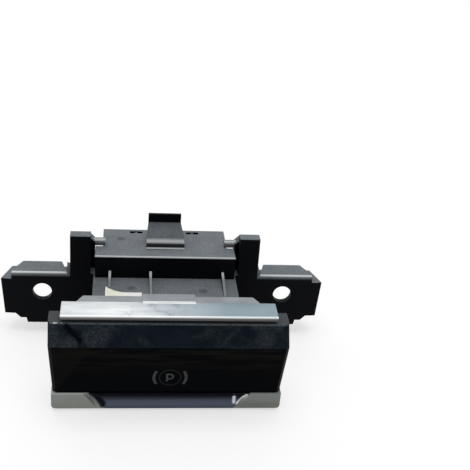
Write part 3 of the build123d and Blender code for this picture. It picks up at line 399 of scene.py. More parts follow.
def box_group():
    """A box that lies the same on both sides of X = 0: 1 inside it and 0 outside, with a soft border.

    How far a point is out of the box is the most, over the axes, of its distance from the middle less half
    the box's span."""
    inputs = {"Low": (0.0, 0.0, 0.0), "High": (1.0, 1.0, 1.0), "Soft": 0.0001}
    group, given, results = new_group("Box mark", inputs, ("Mask",))
    low, high, soft = given["Low"], given["High"], given["Soft"]
    parts = apart(object_place(group))
    folded = put(group, "CombineXYZ", {0: size_of(parts["X"]), 1: parts["Y"], 2: parts["Z"]}).outputs[0]
    middle = calc_vector("SCALE", calc_vector("ADD", low, high), 0.5)
    half = calc_vector("SCALE", calc_vector("SUBTRACT", high, low), 0.5)
    away = calc_vector("ABSOLUTE", calc_vector("SUBTRACT", folded, middle), (0.0, 0.0, 0.0))
    out = apart(calc_vector("SUBTRACT", away, half))
    most = calc("MAXIMUM", out["X"], out["Y"], out["Z"])
    feed(ramp(most, times(soft, -1.0), soft, 1.0, 0.0), results["Mask"])
    return group


def marks_group():
    """Signs of handling: soft smudges, and fine scratches where a stretched noise crosses its middle."""
    inputs = {"Smudge size": 0.01, "Scratch length": 0.02}
    group, given, results = new_group("Handling marks", inputs, ("Smudge", "Scratch"))
    place = object_place(group)
    cloud = noise(place, calc("DIVIDE", 1.0, given["Smudge size"]), 6.0, Roughness=0.62, Distortion=0.8)
    feed(ramp(cloud, 0.48, 0.74), results["Smudge"])
    tilt = {"Vector": place, "Rotation": (0.3, 0.5, radians(24)), "Scale": (1.0, 14.0, 14.0)}
    tilted = put(group, "Mapping", tilt).outputs[0]
    lines = noise(tilted, calc("DIVIDE", 1.0, given["Scratch length"]), 2.0)
    thin = ramp(size_of(calc("SUBTRACT", lines, 0.5)), 0.0, 0.006, 1.0, 0.0)
    feed(times(thin, ramp(noise(place, 210.0, 2.0), 0.55, 0.68)), results["Scratch"])
    return group


def streak_group():
    """Smears in plating: noise drawn out along X, and fine along Y and Z."""
    group, given, results = new_group("Plating smears", {"Width": 0.001}, ("Streak",))
    per_metre = calc("DIVIDE", 1.0, given["Width"])
    fine = noise(drawn_out(object_place(group), 0.09), per_metre, 4.0, Roughness=0.6)
    feed(ramp(fine, 0.35, 0.66), results["Streak"])
    return group


# Node groups by their maker and materials by their slot, once they are made
made = {}


def shared(tree, maker, **values):
    """Place a shared group in a material's tree with the material's values, and give its outputs."""
    if maker not in made:
        made[maker] = maker()
    inputs = {label.replace("_", " "): value for label, value in values.items()}
    return put(tree, "Group", inputs, node_tree=made[maker]).outputs


def line_mark(tree, start, end, width, plane=(1.0, 0.0, 1.0)):
    """A mask round a line between two places."""
    return shared(tree, line_group, Start=start, End=end, Width=width, Plane=plane)["Mask"]


def box_mark(tree, low, high, soft=0.0001):
    """A mask for a box, mirrored to both sides."""
    return shared(tree, box_group, Low=low, High=high, Soft=soft)["Mask"]


# Materials

def start_material(name, **constants):
    """A material with only its Principled shader, some of whose sockets are set by name.

    Gives the material, its tree and the shader's sockets."""
    material = bpy.data.materials.new(name)
    material.use_nodes = True
    sockets = material.node_tree.nodes["Principled BSDF"].inputs
    for label, value in constants.items():
        feed(value, sockets[label.replace("_", " ")])
    return material, material.node_tree, sockets


def set_bump(sockets, height, distance):
    """Feed a height into the shader's normal, with its real depth in metres."""
    bump = put(height.id_data, "Bump", {"Height": height, "Distance": distance, "Strength": 1.0})
    feed(bump.outputs["Normal"], sockets["Normal"])


def set_wear(sockets, marks, clean, smudged, scored):
    """Set the roughness of clean and of smudged places, and what a scratch adds to it."""
    uneven = ramp(marks["Smudge"], 0.0, 1.0, clean, smudged)
    feed(calc("ADD", uneven, times(marks["Scratch"], scored)), sockets["Roughness"])


def painted_light_masks(tree, up, edge, forward):
    """Where the painted sheen on top faces and the painted highlight on curved edges differ over the
    housings: deck, ribs, ears, tongue, pegs and plate edge.
    """
    parts = apart(object_place(tree))
    along = parts["Y"]
    deck = box_mark(tree, (0.0, -0.0400, -0.0200), (0.0258, -0.0028, 0.0083))
    deck_between_ribs = box_mark(tree, (0.0, -0.0400, -0.0200), (0.0262, -0.0028, 0.0081))
    ribs = box_mark(tree, (0.0, -0.0400, 0.0080), (0.0260, -0.0028, 0.0120))
    ear_steps = box_mark(tree, (0.0340, -0.0600, -0.0200), (0.0600, 0.0100, 0.0045))
    pegs = box_mark(tree, (0.0216, 0.0050, 0.0161), (0.0257, 0.0085, 0.0194))
    plate_edge = box_mark(tree, (0.0, -0.0032, 0.0163), (0.0256, -0.0024, 0.0169))
    tongue = box_mark(tree, (0.0, 0.0040, 0.0171), (0.0076, 0.0200, 0.0250))
    tongue_end = box_mark(tree, (0.0, 0.0150, 0.0242), (0.0076, 0.0200, 0.0250))
    tongue_and_front = box_mark(tree, (0.0, 0.0036, 0.0172), (0.0076, 0.0200, 0.0250))
    tongue_lip = box_mark(tree, (0.0, 0.0026, 0.0169), (0.0071, 0.0038, 0.0173))
    # Painted shade: a little less painted sheen on the sunken deck, less on the tongue's slope, and almost
    # none on the ear's low steps and the tongue's end
    for mark, share in ((deck, 0.95), (ear_steps, 0.04), (tongue, 0.66), (tongue_end, 0.05)):
        up = mix(mark, up, times(up, share))
    # Ejector marks: one on the plate and two on the deck
    for spot in ((-0.0163, 0.0111, 0.0), (-0.0123, -0.0105, 0.0), (0.0134, -0.0120, 0.0)):
        up = times(up, ramp(line_mark(tree, spot, spot, 0.0022, (1.0, 1.0, 0.0)), 0.0, 1.0, 1.0, 0.6))
    # No painted highlight on curved edges above the plate or on the deck, and on the ribs the painted
    # highlight grows towards the back
    edge = times(edge, ramp(parts["Z"], 0.0192, 0.0198, 1.0, 0.0))
    edge = mix(ribs, edge, times(edge, ramp(along, -0.008, -0.004, 0.15, 0.7)))
    edge = mix(deck_between_ribs, edge, 0.0)
    # Painted highlights on the tongue's rolled front and on the round pegs, which follow their lean
    roll = times(ramp(along, 0.0052, 0.0072, 0.5, 0.0), ramp(forward, 0.5, 0.95, 1.0, 0.07))
    edge = mix(tongue_and_front, edge, roll)
    lit = times(ramp(forward, 0.0, 0.5, 0.1, 0.8), ramp(forward, 0.6, 0.98, 1.0, 0.3))
    edge = mix(pegs, edge, lit)
    # Painted highlight lines along the plate's front edge and the tongue's foot
    return up, calc("MAXIMUM", edge, times(plate_edge, 0.75), times(tongue_lip, 0.5))


def moulded_plastic(name, colour, top_sheen, rounds, roughness, grain, depth, gloss=0.04, masks=None):
    """Moulded plastic: dark walls, a mottled painted sheen on top faces, a painted highlight on curved edges
    and a fine grain.
    """
    material, tree, sockets = start_material(name, Specular_IOR_Level=gloss)
    texture = shared(tree, grain_group, Size=grain)
    facing = shared(tree, facing_group)
    marks = shared(tree, marks_group, Smudge_size=0.006, Scratch_length=0.012)
    up, edge = facing["Up"], facing["Edge"]
    if masks:
        up, edge = masks(tree, up, edge, facing["Forward"])
    mottle = calc("ADD", times(ramp(texture["Height"], 0.36, 0.62), 0.55), times(texture["Tone"], 0.45))
    # Painted light: top faces take the mottled sheen colour, and curved edges the highlight colour
    body = blend(up, colour, blend(mottle, shade(top_sheen, 0.80), shade(top_sheen, 1.20)))
    body = blend(times(edge, 0.9), body, rounds)
    # Fine scratches on the top faces, pale in the highlight's colour
    feed(blend(times(marks["Scratch"], up, 0.3), body, rounds), sockets["Base Color"])
    feed(ramp(marks["Smudge"], 0.0, 1.0, roughness, roughness + 0.12), sockets["Roughness"])
    set_bump(sockets, texture["Height"], depth)
    return material


def metal(name, colour, darker, roughness, width):
    """Plated or drawn metal: smears along X, smudges and hair scratches."""
    material, tree, sockets = start_material(name, Metallic=1.0)
    streak = shared(tree, streak_group, Width=width)["Streak"]
    marks = shared(tree, marks_group, Smudge_size=0.008, Scratch_length=0.015)
    feed(blend(times(streak, 0.45), colour, darker), sockets["Base Color"])
    set_wear(sockets, marks, roughness, roughness + 0.18, 0.2)
    set_bump(sockets, streak, 0.000004)
    return material


def speckled(name, colour, speck_colour, roughness):
    """A small part's plain body with fine specks."""
    material, tree, sockets = start_material(name, Roughness=roughness)
    specks = noise(object_place(tree), 5000.0, 2.0)
    feed(blend(ramp(specks, 0.5, 0.7, 0.0, 0.6), colour, speck_colour), sockets["Base Color"])
    set_bump(sockets, specks, 0.000008)
    return material


def grey_flange(look):
    """Matte grey, darkened on its walls as painted shade, with a painted highlight on its curved edges and a
    painted highlight line where its tab rises behind the strip.
    """
    material, tree, sockets = start_material("Grey flange", Roughness=0.42, Specular_IOR_Level=0.2)
    parts = apart(object_place(tree))
    texture = shared(tree, grain_group, Size=0.0005)
    facing = shared(tree, facing_group)
    top = blend(texture["Tone"], shade(look.flange, 0.88), shade(look.flange, 1.15))
    # Painted shade on the walls and a painted highlight on the curved edges
    body = blend(facing["Up"], shade(look.flange, 0.35), top)
    body = blend(times(facing["Edge"], 0.5), body, (0.6, 0.62, 0.64))
    # Painted highlight line where the tab rises behind the strip
    behind = ramp(parts["Y"], -0.0351, -0.0348, 1.0, 0.0)
    within = ramp(size_of(parts["X"]), 0.0087, 0.0089, 1.0, 0.0)
    feed(blend(times(behind, within), body, (0.96, 0.97, 0.98)), sockets["Base Color"])
    set_bump(sockets, texture["Height"], 0.000006)
    return material


def gloss_paddle(look):
    """Gloss black: brownish smears along the main face, smudges and a scratch on the slanted face, a bluish
    painted sheen on the slanted face with a painted highlight along its top edge, and a paler painted sheen
    on the face under the strip.
    """
    material, tree, sockets = start_material("Gloss paddle", Specular_IOR_Level=0.012)
    place = object_place(tree)
    parts = apart(place)
    lean = apart(put(tree, "TexCoord").outputs["Normal"])["Z"]
    marks = shared(tree, marks_group, Smudge_size=0.009, Scratch_length=0.03)
    bands = noise(drawn_out(place, 0.10), 700.0, 4.0)
    broken = noise(place, 1300.0, 3.0)
    # The main face: bands of smear that thicken upwards, and a smear at its left end with a slanting border
    banded = times(ramp(bands, 0.42, 0.66), ramp(parts["Z"], -0.003, 0.006))
    main = blend(banded, look.colour, look.smear)
    slant = 0.585
    across = calc("SUBTRACT", parts["X"], times(parts["Z"], slant))
    main = blend(ramp(across, -0.0322, -0.0298, 0.55, 0.0), main, look.smear)
    # The slanted face: a bluish painted sheen, with speckled smudges that thicken towards both ends, and
    # three patches at the left
    speckle = ramp(broken, 0.35, 0.65, 0.35, 1.0)
    sides = ramp(size_of(parts["X"]), 0.006, 0.026, 0.12, 0.72)
    wide = times(ramp(noise(place, 95.0, 5.0, Roughness=0.6), 0.40, 0.60), sides, speckle)
    cloud = calc("MAXIMUM", times(marks["Smudge"], speckle, 0.5), wide)
    for start, end, width, share in (
        ((-0.0385, 0.0, 0.0108), (-0.0310, 0.0, 0.0112), 0.0024, 0.7),
        ((-0.0262, 0.0, 0.0137), (-0.0238, 0.0, 0.0136), 0.0018, 0.45),
        ((-0.0310, 0.0, 0.0152), (-0.0240, 0.0, 0.0150), 0.0014, 0.35),
    ):
        cloud = calc("MAXIMUM", cloud, times(line_mark(tree, start, end, width), share, speckle))
    slope = blend(cloud, look.bevel, look.smudge)
    # Painted highlight along the slanted face's top edge, broken up by noise
    rim = times(ramp(parts["Z"], 0.0152, 0.0156), ramp(broken, 0.3, 0.6, 0.4, 1.0))
    slope = blend(rim, slope, (0.095, 0.108, 0.115))
    scratch = line_mark(tree, (-0.0332, 0.0, 0.0150), (-0.0286, 0.0, 0.0117), 0.0010)
    slope = blend(times(scratch, ramp(broken, 0.3, 0.5)), slope, (0.001, 0.0015, 0.003))
    # The lean tells the main face, the slanted face and the face under the strip apart, and gives the last
    # two their painted sheen; that face has a scuffed corner
    body = blend(ramp(lean, 0.15, 0.55), main, slope)
    body = blend(ramp(lean, 0.80, 0.97), body, look.ledge)
    scuff = line_mark(tree, (-0.0382, -0.0465, 0.0157), (-0.0348, -0.0465, 0.0157), 0.00042, (1.0, 1.0, 1.0))
    body = blend(times(scuff, ramp(broken, 0.48, 0.56)), body, (0.55, 0.57, 0.57))
    feed(body, sockets["Base Color"])
    set_wear(sockets, marks, 0.18, 0.36, 0.3)
    set_bump(sockets, bands, 0.000003)
    return material


def bright_plating(look):
    """Bright plating: a painted reflection, pale at the left and bluish at the right, smeared, with its
    turned down front darkened as painted shade and painted highlights on its edges.
    """
    material, tree, sockets = start_material("Bright plating", Metallic=0.25, Specular_IOR_Level=0.15)
    streak = shared(tree, streak_group, Width=0.0016)["Streak"]
    marks = shared(tree, marks_group, Smudge_size=0.006, Scratch_length=0.015)
    parts = apart(object_place(tree))
    # Painted reflection across the strip, pale at the left and bluish at the right
    left, right = look.strip_reflection_left, look.strip_reflection_right
    middle = tuple((a + b) / 2 for a, b in zip(left, right))
    top = colours_along(parts["X"], -0.036, 0.036, (left, shade(left, 1.2, 0.92), middle, right, right))
    top = blend(times(streak, 0.28), top, look.strip_shade)
    central = ramp(size_of(parts["X"]), 0.006, 0.020, 0.85, 0.1)
    top = blend(times(marks["Smudge"], central), top, look.strip_shade)
    # Painted shade on the turned down front, with a painted highlight along its curve that is stronger at the
    # left
    lip_highlight = ramp(parts["Z"], 0.0170, 0.0181)
    leftward = ramp(parts["X"], -0.036, 0.010, 1.0, 0.45)
    lip = blend(times(lip_highlight, leftward), look.lip, (0.42, 0.42, 0.42))
    body = blend(shared(tree, facing_group)["Up"], lip, top)
    # Painted highlight lines along the strip's front edge and its back edge above the tab
    front = box_mark(tree, (0.0, -0.0470, 0.0178), (0.0360, -0.0459, 0.0190), 0.00015)
    front = times(front, ramp(parts["X"], -0.010, 0.020, 1.0, 0.75))
    back = box_mark(tree, (0.0, -0.0383, 0.0178), (0.00875, -0.0370, 0.0190), 0.00008)
    feed(blend(calc("MAXIMUM", front, back), body, (0.97, 0.975, 0.98)), sockets["Base Color"])
    set_wear(sockets, marks, 0.34, 0.5, 0.2)
    set_bump(sockets, streak, 0.000002)
    return material


def satin_plating(look):
    """Satin grip: warm ends with a painted highlight along the top edge, and a finger scoop painted with a
    bluish reflection that darkens upwards as painted shade.
    """
    material, tree, sockets = start_material(
        "Satin plating", Metallic=0.2, Roughness=0.38, Specular_IOR_Level=0.03)
    parts = apart(object_place(tree))
    texture = shared(tree, grain_group, Size=0.0003)
    front = ramp(parts["Y"], -0.0468, -0.0462, 1.0, 0.0)
    ends = blend(texture["Tone"], shade(look.grip, 0.92), shade(look.grip, 1.06))
    # Painted light on the ends: a highlight along the top edge, shade towards the right and a bluish
    # reflection low down
    ends = blend(times(ramp(parts["Z"], -0.0107, -0.0102), front), ends, (0.62, 0.63, 0.56))
    ends = blend(ramp(parts["X"], -0.030, 0.034), ends, shade(look.grip, 0.72))
    ends = blend(ramp(parts["Z"], -0.0150, -0.0120, 0.0, 0.45), ends, (0.29, 0.32, 0.33))
    # The scoop's ends slant inwards on their way down from the top edge, and the left one reaches less far
    left_reach, right_reach, top_depth, slant = 0.0259, 0.0277, 0.010, 0.82
    reach = ramp(parts["X"], -0.001, 0.001, left_reach, right_reach)
    limit = calc("ADD", reach, times(calc("ADD", parts["Z"], top_depth), slant))
    within = ramp(calc("SUBTRACT", size_of(parts["X"]), limit), -0.0002, 0.0002, 1.0, 0.0)
    # Painted reflection and shade in the scoop: bluish in its middle, a little darker at the bottom and dark
    # towards the top
    levels = [shade(look.hollow, share) for share in (0.62, 1.0, 0.95, 0.36)]
    hollow = colours_along(parts["Z"], -0.0163, -0.0121, (*levels, (0.004, 0.005, 0.008)))
    body = blend(times(within, front), ends, hollow)
    # A painted shadow at the scoop's left end, and a painted highlight line and a painted glint at its right
    # end
    for start, end, width, colour in (
        ((-0.0250, 0.0, -0.0105), (-0.0214, 0.0, -0.0150), 0.0016, (0.006, 0.008, 0.012)),
        ((0.0268, 0.0, -0.0112), (0.0236, 0.0, -0.0150), 0.00045, (0.97, 0.98, 1.0)),
        ((0.0226, 0.0, -0.0127), (0.0226, 0.0, -0.0145), 0.0008, (0.84, 0.87, 0.97)),
    ):
        body = blend(times(line_mark(tree, start, end, width), front), body, colour)
    feed(body, sockets["Base Color"])
    set_bump(sockets, texture["Height"], 0.000003)
    return material


def board_laminate(look):
    """Green lacquer over copper tracks, which are the mortar of a brick pattern."""
    material, tree, sockets = start_material("Board laminate", Roughness=0.32)
    black, white = (0.0, 0.0, 0.0), (1.0, 1.0, 1.0)
    pattern = {"Vector": object_place(tree), "Scale": 320.0, "Mortar Size": 0.035}
    tracks = put(tree, "TexBrick", {**pattern, "Color1": black, "Color2": black, "Mortar": white})
    mask = apart(tracks.outputs["Color"])["X"]
    feed(blend(mask, look.laminate, shade(look.laminate, 1.9)), sockets["Base Color"])
    set_bump(sockets, mask, 0.00003)
    return material


def clear_plastic():
    """Clear plastic of the light pipe, with faint flow lines."""
    material, tree, sockets = start_material(
        "Clear plastic", Roughness=0.08, Metallic=0.0, Transmission_Weight=0.85, IOR=1.49,
        Base_Color=(0.9, 0.93, 0.95))
    set_bump(sockets, noise(object_place(tree), 900.0, 2.0), 0.00001)
    return material


def paper(look):
    """Cream paper with fibres, whiter towards its right end."""
    material, tree, sockets = start_material("Slip paper", Roughness=0.85)
    place = object_place(tree)
    fibres = noise(place, 2600.0, 5.0, Distortion=1.5)
    whiter = blend(ramp(apart(place)["X"], -0.020, -0.010), look.colour, (0.97, 0.97, 0.96))
    body = blend(ramp(fibres, 0.45, 0.75, 0.0, 0.25), whiter, (0.84, 0.84, 0.80))
    feed(body, sockets["Base Color"])
    set_bump(sockets, fibres, 0.00003)
    return material


def ink(name, colour):
    """Printed ink, thinner in places so that the black shows through."""
    material, tree, sockets = start_material(name, Roughness=0.45, Specular_IOR_Level=0.03)
    thin = ramp(noise(object_place(tree), 1800.0, 3.0), 0.4, 0.8, 0.0, 0.5)
    feed(blend(thin, colour, shade(colour, 0.5)), sockets["Base Color"])
    return material


def recipes(scene):
    """For each slot, the function that makes its material and what it is given.

    A moulded plastic is given its colour, the painted sheen of its top faces and the painted highlight of its
    curved edges, its roughness, the grain's size and depth, and its gloss. A metal is given its colour, a
    darker one, its roughness and the smears' width."""
    housing, trim, small = scene.switch_housing, scene.switch_trim, scene.switch_small
    return {
        "black_housing": (
            moulded_plastic, "Black moulding", housing.colour, housing.top_sheen, housing.rounds,
            0.42, housing.grain, 0.000018, 0.04, painted_light_masks),
        "carrier_plastic": (
            moulded_plastic, "Carrier plastic", (0.012, 0.012, 0.013), (0.06, 0.06, 0.062), housing.rounds,
            0.5, 0.0004, 0.000015),
        "connector_plastic": (
            moulded_plastic, "Connector plastic", (0.010, 0.010, 0.011), (0.13, 0.14, 0.145), housing.rounds,
            0.46, 0.0003, 0.000012),
        "stop_rubber": (
            moulded_plastic, "Stop rubber", (0.012, 0.012, 0.012), (0.05, 0.05, 0.05), (0.09, 0.09, 0.09),
            0.8, 0.0002, 0.00002),
        "magnet_grey": (
            moulded_plastic, "Magnet", (0.08, 0.08, 0.085), (0.2, 0.2, 0.21), (0.3, 0.3, 0.3),
            0.5, 0.0002, 0.00001, 0.4),
        "zinc_steel": (metal, "Zinc steel", small.zinc, shade(small.zinc, 0.6), 0.32, 0.0004),
        "spring_steel": (metal, "Spring steel", small.spring, shade(small.spring, 0.55), 0.26, 0.0003),
        "tinned_brass": (metal, "Tinned brass", small.pins, (0.45, 0.38, 0.24), 0.28, 0.0004),
        "chip_body": (speckled, "Chip resin", (0.012, 0.012, 0.013), (0.03, 0.03, 0.03), 0.5),
        "capacitor_ceramic": (speckled, "Fired ceramic", (0.30, 0.19, 0.10), (0.4, 0.28, 0.17), 0.45),
        "lamp_white": (speckled, "Lamp body", (0.82, 0.78, 0.62), (0.9, 0.88, 0.76), 0.3),
        "diffuser_white": (speckled, "Milky diffuser", (0.8, 0.8, 0.78), (0.88, 0.88, 0.87), 0.5),
        "paddle_gloss": (gloss_paddle, scene.switch_paddle),
        "bright_plating": (bright_plating, trim),
        "grey_flange": (grey_flange, trim),
        "satin_plating": (satin_plating, trim),
        "board_laminate": (board_laminate, small),
        "clear_plastic": (clear_plastic,),
    }


def finish(slot):
    """The material of a slot, made only once."""
    if slot not in made:
        maker, *values = recipes(bpy.context.scene)[slot]
        made[slot] = maker(*values)
    return made[slot]


# Meshes

def grid_faces(rows, columns, wrap_rows=False, wrap_columns=False):
    """Quads between neighbouring points of a grid, point (i, j) being number i * columns + j.

    A wrapped side joins its last line of points to its first. The faces point the way of the cross product
    of the step along j with the step along i."""
    i = np.arange(rows if wrap_rows else rows - 1)[:, None]
    j = np.arange(columns if wrap_columns else columns - 1)[None, :]
    after_i = (i + 1) % rows
    after_j = (j + 1) % columns
    corners = (i * columns + j, i * columns + after_j, after_i * columns + after_j, after_i * columns + j)
    return np.stack(corners, axis=-1).reshape(-1, 4)


def join_arrays(parts):
    """Join several (points, faces) pairs into one, moving the later faces' numbers on."""
    points, faces, count = [], [], 0
    for part_points, part_faces in parts:
        points.append(part_points.reshape(-1, 3))
        faces += [[corner + count for corner in face] for face in part_faces]
        count += len(points[-1])
    return np.concatenate(points), faces


def unit(vectors):
    """Vectors brought to a length of 1."""
    return vectors / np.linalg.norm(vectors, axis=1, keepdims=True)


def carried(path, side, up, section, closed=False):
    """Carry a flat section along a path.

    Point (i, j) is path i plus the section's first number j times side i plus its second times up i.
    The section runs from side towards up, and an open path gets a flat cap at each end."""
    points = path[:, None] + section[None, :, :1] * side[:, None] + section[None, :, 1:] * up[:, None]
    rows, columns = points.shape[:2]
    faces = grid_faces(rows, columns, closed, True).tolist()
    if not closed:
        faces += [list(range(columns))[::-1], list(range((rows - 1) * columns, rows * columns))]
    return points.reshape(-1, 3), faces


def turned(profile, centre, axis, side, steps, dent):
    """Turn a profile of (radius, height) pairs about an axis, from the bottom pole out and up to the top.

    Point (i, j) is the centre plus radius i times the direction at angle j plus height i times the axis.
    dent(x, y, profile) takes a height away where the piece is recessed."""
    angles = np.arange(steps) * 2 * pi / steps
    axis = np.array(axis, float)
    side = np.array(side, float)
    around = np.cos(angles)[:, None] * side + np.sin(angles)[:, None] * np.cross(axis, side)
    radius = profile[:, :1] + np.zeros(steps)
    height = profile[:, 1:] - dent(radius * np.cos(angles), radius * np.sin(angles), profile)
    points = np.array(centre) + radius[..., None] * around[None] + height[..., None] * axis
    return points.reshape(-1, 3), grid_faces(len(profile), steps, False, True).tolist()


def merge(mesh, flat=False):
    """Merge corners that share a place, and join flat faces if asked."""
    surface = bmesh.new()
    surface.from_mesh(mesh)
    bmesh.ops.remove_doubles(surface, verts=surface.verts, dist=WELD)
    if flat:
        bmesh.ops.dissolve_limit(surface, angle_limit=FLAT, verts=surface.verts, edges=surface.edges)
    surface.to_mesh(mesh)
    surface.free()


def new_piece(name, points, faces, material, weld=True, flat=False):
    """Make a smooth shaded object from points and faces, with its seams and poles closed."""
    mesh = bpy.data.meshes.new(name)
    mesh.from_pydata(points.reshape(-1, 3).tolist(), [], [list(face) for face in faces])
    if weld:
        merge(mesh, flat)
    mesh.shade_smooth()
    mesh.set_sharp_from_angle(angle=EDGE)
    mesh.materials.append(material)
    piece = bpy.data.objects.new(name, mesh)
    bpy.context.scene.collection.objects.link(piece)
    return piece


def weigh_edges(mesh, low, high, share):
    """Give sharp edges whose middle lies in a box the full bevel weight, and other sharp ones a share."""
    points = np.empty(3 * len(mesh.vertices))
    mesh.vertices.foreach_get("co", points)
    ends = np.empty(2 * len(mesh.edges), np.int32)
    mesh.edges.foreach_get("vertices", ends)
    sharp = np.empty(len(mesh.edges), bool)
    mesh.edges.foreach_get("use_edge_sharp", sharp)
    middle = points.reshape(-1, 3)[ends.reshape(-1, 2)].mean(axis=1)
    inside = ((middle >= low) & (middle <= high)).all(axis=1)
    weight = mesh.attributes.new("bevel_weight_edge", "FLOAT", "EDGE")
    weight.data.foreach_set("value", sharp * np.where(inside, 1.0, share))


def dress(node, slot, edge, wide=None):
    """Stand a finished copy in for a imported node: merged, its flat faces joined, its edges slightly round.

    Wide gives two corners of a box and the width of the round on the edges in it."""
    source = frame["nodes"][node].data
    points = np.empty(3 * len(source.vertices), np.float32)
    source.vertices.foreach_get("co", points)
    corners = np.empty(len(source.loops), np.int32)
    source.loops.foreach_get("vertex_index", corners)
    triangles = corners.reshape(-1, 3).tolist()
    piece = new_piece(f"{node}_finished", points, triangles, finish(slot), flat=True)
    bevel = piece.modifiers.new("Edge round", "BEVEL")
    bevel.width = edge
    bevel.segments = 2
    bevel.limit_method = "ANGLE"
    bevel.angle_limit = EDGE
    bevel.harden_normals = True
    if wide:
        low, high, width = wide
        weigh_edges(piece.data, low, high, edge / width)
        bevel.width = width
        bevel.segments = 4
        bevel.limit_method = "WEIGHT"
    bodies = frame["record"]["behaviour"]["bodies"]
    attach(piece, next(name for name, members in bodies.items() if node in members))
    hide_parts(node)


def meet(piece, start, direction):
    """Where a straight line first meets a piece, and which way the surface faces there."""
    bpy.context.view_layer.update()
    hit, spot, normal, _ = piece.ray_cast(Vector(start), Vector(direction))
    if not hit:
        raise RuntimeError(f"{piece.name} isn't met from {tuple(start)}")
    return np.array(spot), np.array(normal)


# Operators

class SWITCH_OT_mouldings(bpy.types.Operator):
    """Finish the black housings and covers"""

    bl_idname = "brake_switch.mouldings"
    bl_label = "Mouldings"

    def execute(self, context):
        look = context.scene.switch_housing
        for node in ("front_housing", "rear_cover", "base_cover"):
            dress(node, "black_housing", look.edge)
        plate_edge = ((-0.02, -0.0032, 0.0165), (0.02, -0.0028, 0.0169), look.plate_round)
        dress("rear_housing", "black_housing", look.edge, plate_edge)
        dress("connector_header", "connector_plastic", SMALL_EDGE)
        return {"FINISHED"}


class SWITCH_OT_trim(bpy.types.Operator):
    """Finish the bright strip, the grey flange and the satin grip"""

    bl_idname = "brake_switch.trim"
    bl_label = "Trim"

    def execute(self, context):
        edge = context.scene.switch_trim.edge
        dress("top_trim_strip", "bright_plating", edge)
        dress("trim_flange", "grey_flange", edge)
        dress("grip_trim", "satin_plating", edge)
        return {"FINISHED"}


class SWITCH_OT_paddle(bpy.types.Operator):
    """Finish the paddle's shell, carrier, diffuser and magnet"""

    bl_idname = "brake_switch.paddle"
    bl_label = "Paddle"

    def execute(self, context):
        dress("paddle_shell", "paddle_gloss", context.scene.switch_paddle.edge)
        dress("paddle_carrier", "carrier_plastic", SMALL_EDGE)
        dress("symbol_diffuser", "diffuser_white", SMALL_EDGE)
        dress("sensor_magnet", "magnet_grey", SMALL_EDGE)
        return {"FINISHED"}


def printed_line(line, width, rise, spot, normal, closed=False):
    """A printed line: a flat bar carried along a line drawn on the face.

    The line's points are (across, up) on the face, seen from in front."""
    across = np.array((1.0, 0.0, 0.0))
    path = spot + line[:, :1] * across + line[:, 1:] * np.cross(normal, across)
    if closed:
        ahead = np.roll(path, -1, axis=0) - np.roll(path, 1, axis=0)
    else:
        ahead = np.gradient(path, axis=0)
    half = width / 2
    section = np.array(((half, -rise), (half, rise), (-half, rise), (-half, -rise)))
    return carried(path, np.cross(normal, unit(ahead)), np.broadcast_to(normal, path.shape), section, closed)


def arc_line(radius, start, end, steps, centre=(0.0, 0.0), closed=False):
    """Points on a circle from one angle to another."""
    angles = np.linspace(start, end, steps, endpoint=not closed)
    return np.stack((centre[0] + radius * np.cos(angles), centre[1] + radius * np.sin(angles)), axis=1)


def letter_lines(height, width, stroke):
    """The letter: a stem, and a bowl of two straight runs joined by a half circle."""
    left = -(width - stroke) / 2
    top = (height - stroke) / 2
    bowl_radius = 0.29 * height
    bend = (width - stroke) / 2 - bowl_radius
    curve = arc_line(bowl_radius, pi / 2, -pi / 2, 24, (bend, top - bowl_radius))
    bowl = np.concatenate((((left, top),), curve, ((left, top - 2 * bowl_radius),)))
    stem = np.array(((left, -height / 2), (left, height / 2)))
    return stem, bowl


class SWITCH_OT_symbol(bpy.types.Operator):
    """Print the parking symbol on the paddle's main face"""

    bl_idname = "brake_switch.symbol"
    bl_label = "Symbol"

    def execute(self, context):
        look = context.scene.switch_symbol
        shell = bpy.data.objects["paddle_shell_finished"]
        in_front = (look.across, cad_box[0][1] - 0.01, look.height)
        face = meet(shell, in_front, (0, 1, 0))
        ring = arc_line(look.ring_radius, 0, 2 * pi, 96, closed=True)
        ring_parts = [printed_line(ring, look.ring_width, look.print_height, *face, True)]
        lines = [
            (arc_line(look.bracket_radius, middle - look.bracket_sweep, middle + look.bracket_sweep, 40),
             look.bracket_width)
            for middle in (0, pi)
        ]
        letter = letter_lines(look.letter_height, look.letter_width, look.letter_stroke)
        lines += [(line, look.letter_stroke) for line in letter]
        # Each line stands out a little more than the one before, so that no two share a plane
        print_parts = [
            printed_line(line, width, look.print_height * (1 + 0.02 * number), *face)
            for number, (line, width) in enumerate(lines)
        ]
        for name, parts, material, weld in (
            ("symbol_ring", ring_parts, ink("Ring print", look.ring_colour), True),
            ("symbol_print", print_parts, ink("Symbol print", look.colour), False),
        ):
            piece = new_piece(name, *join_arrays(parts), material, weld)
            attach(piece, "paddle")
        return {"FINISHED"}


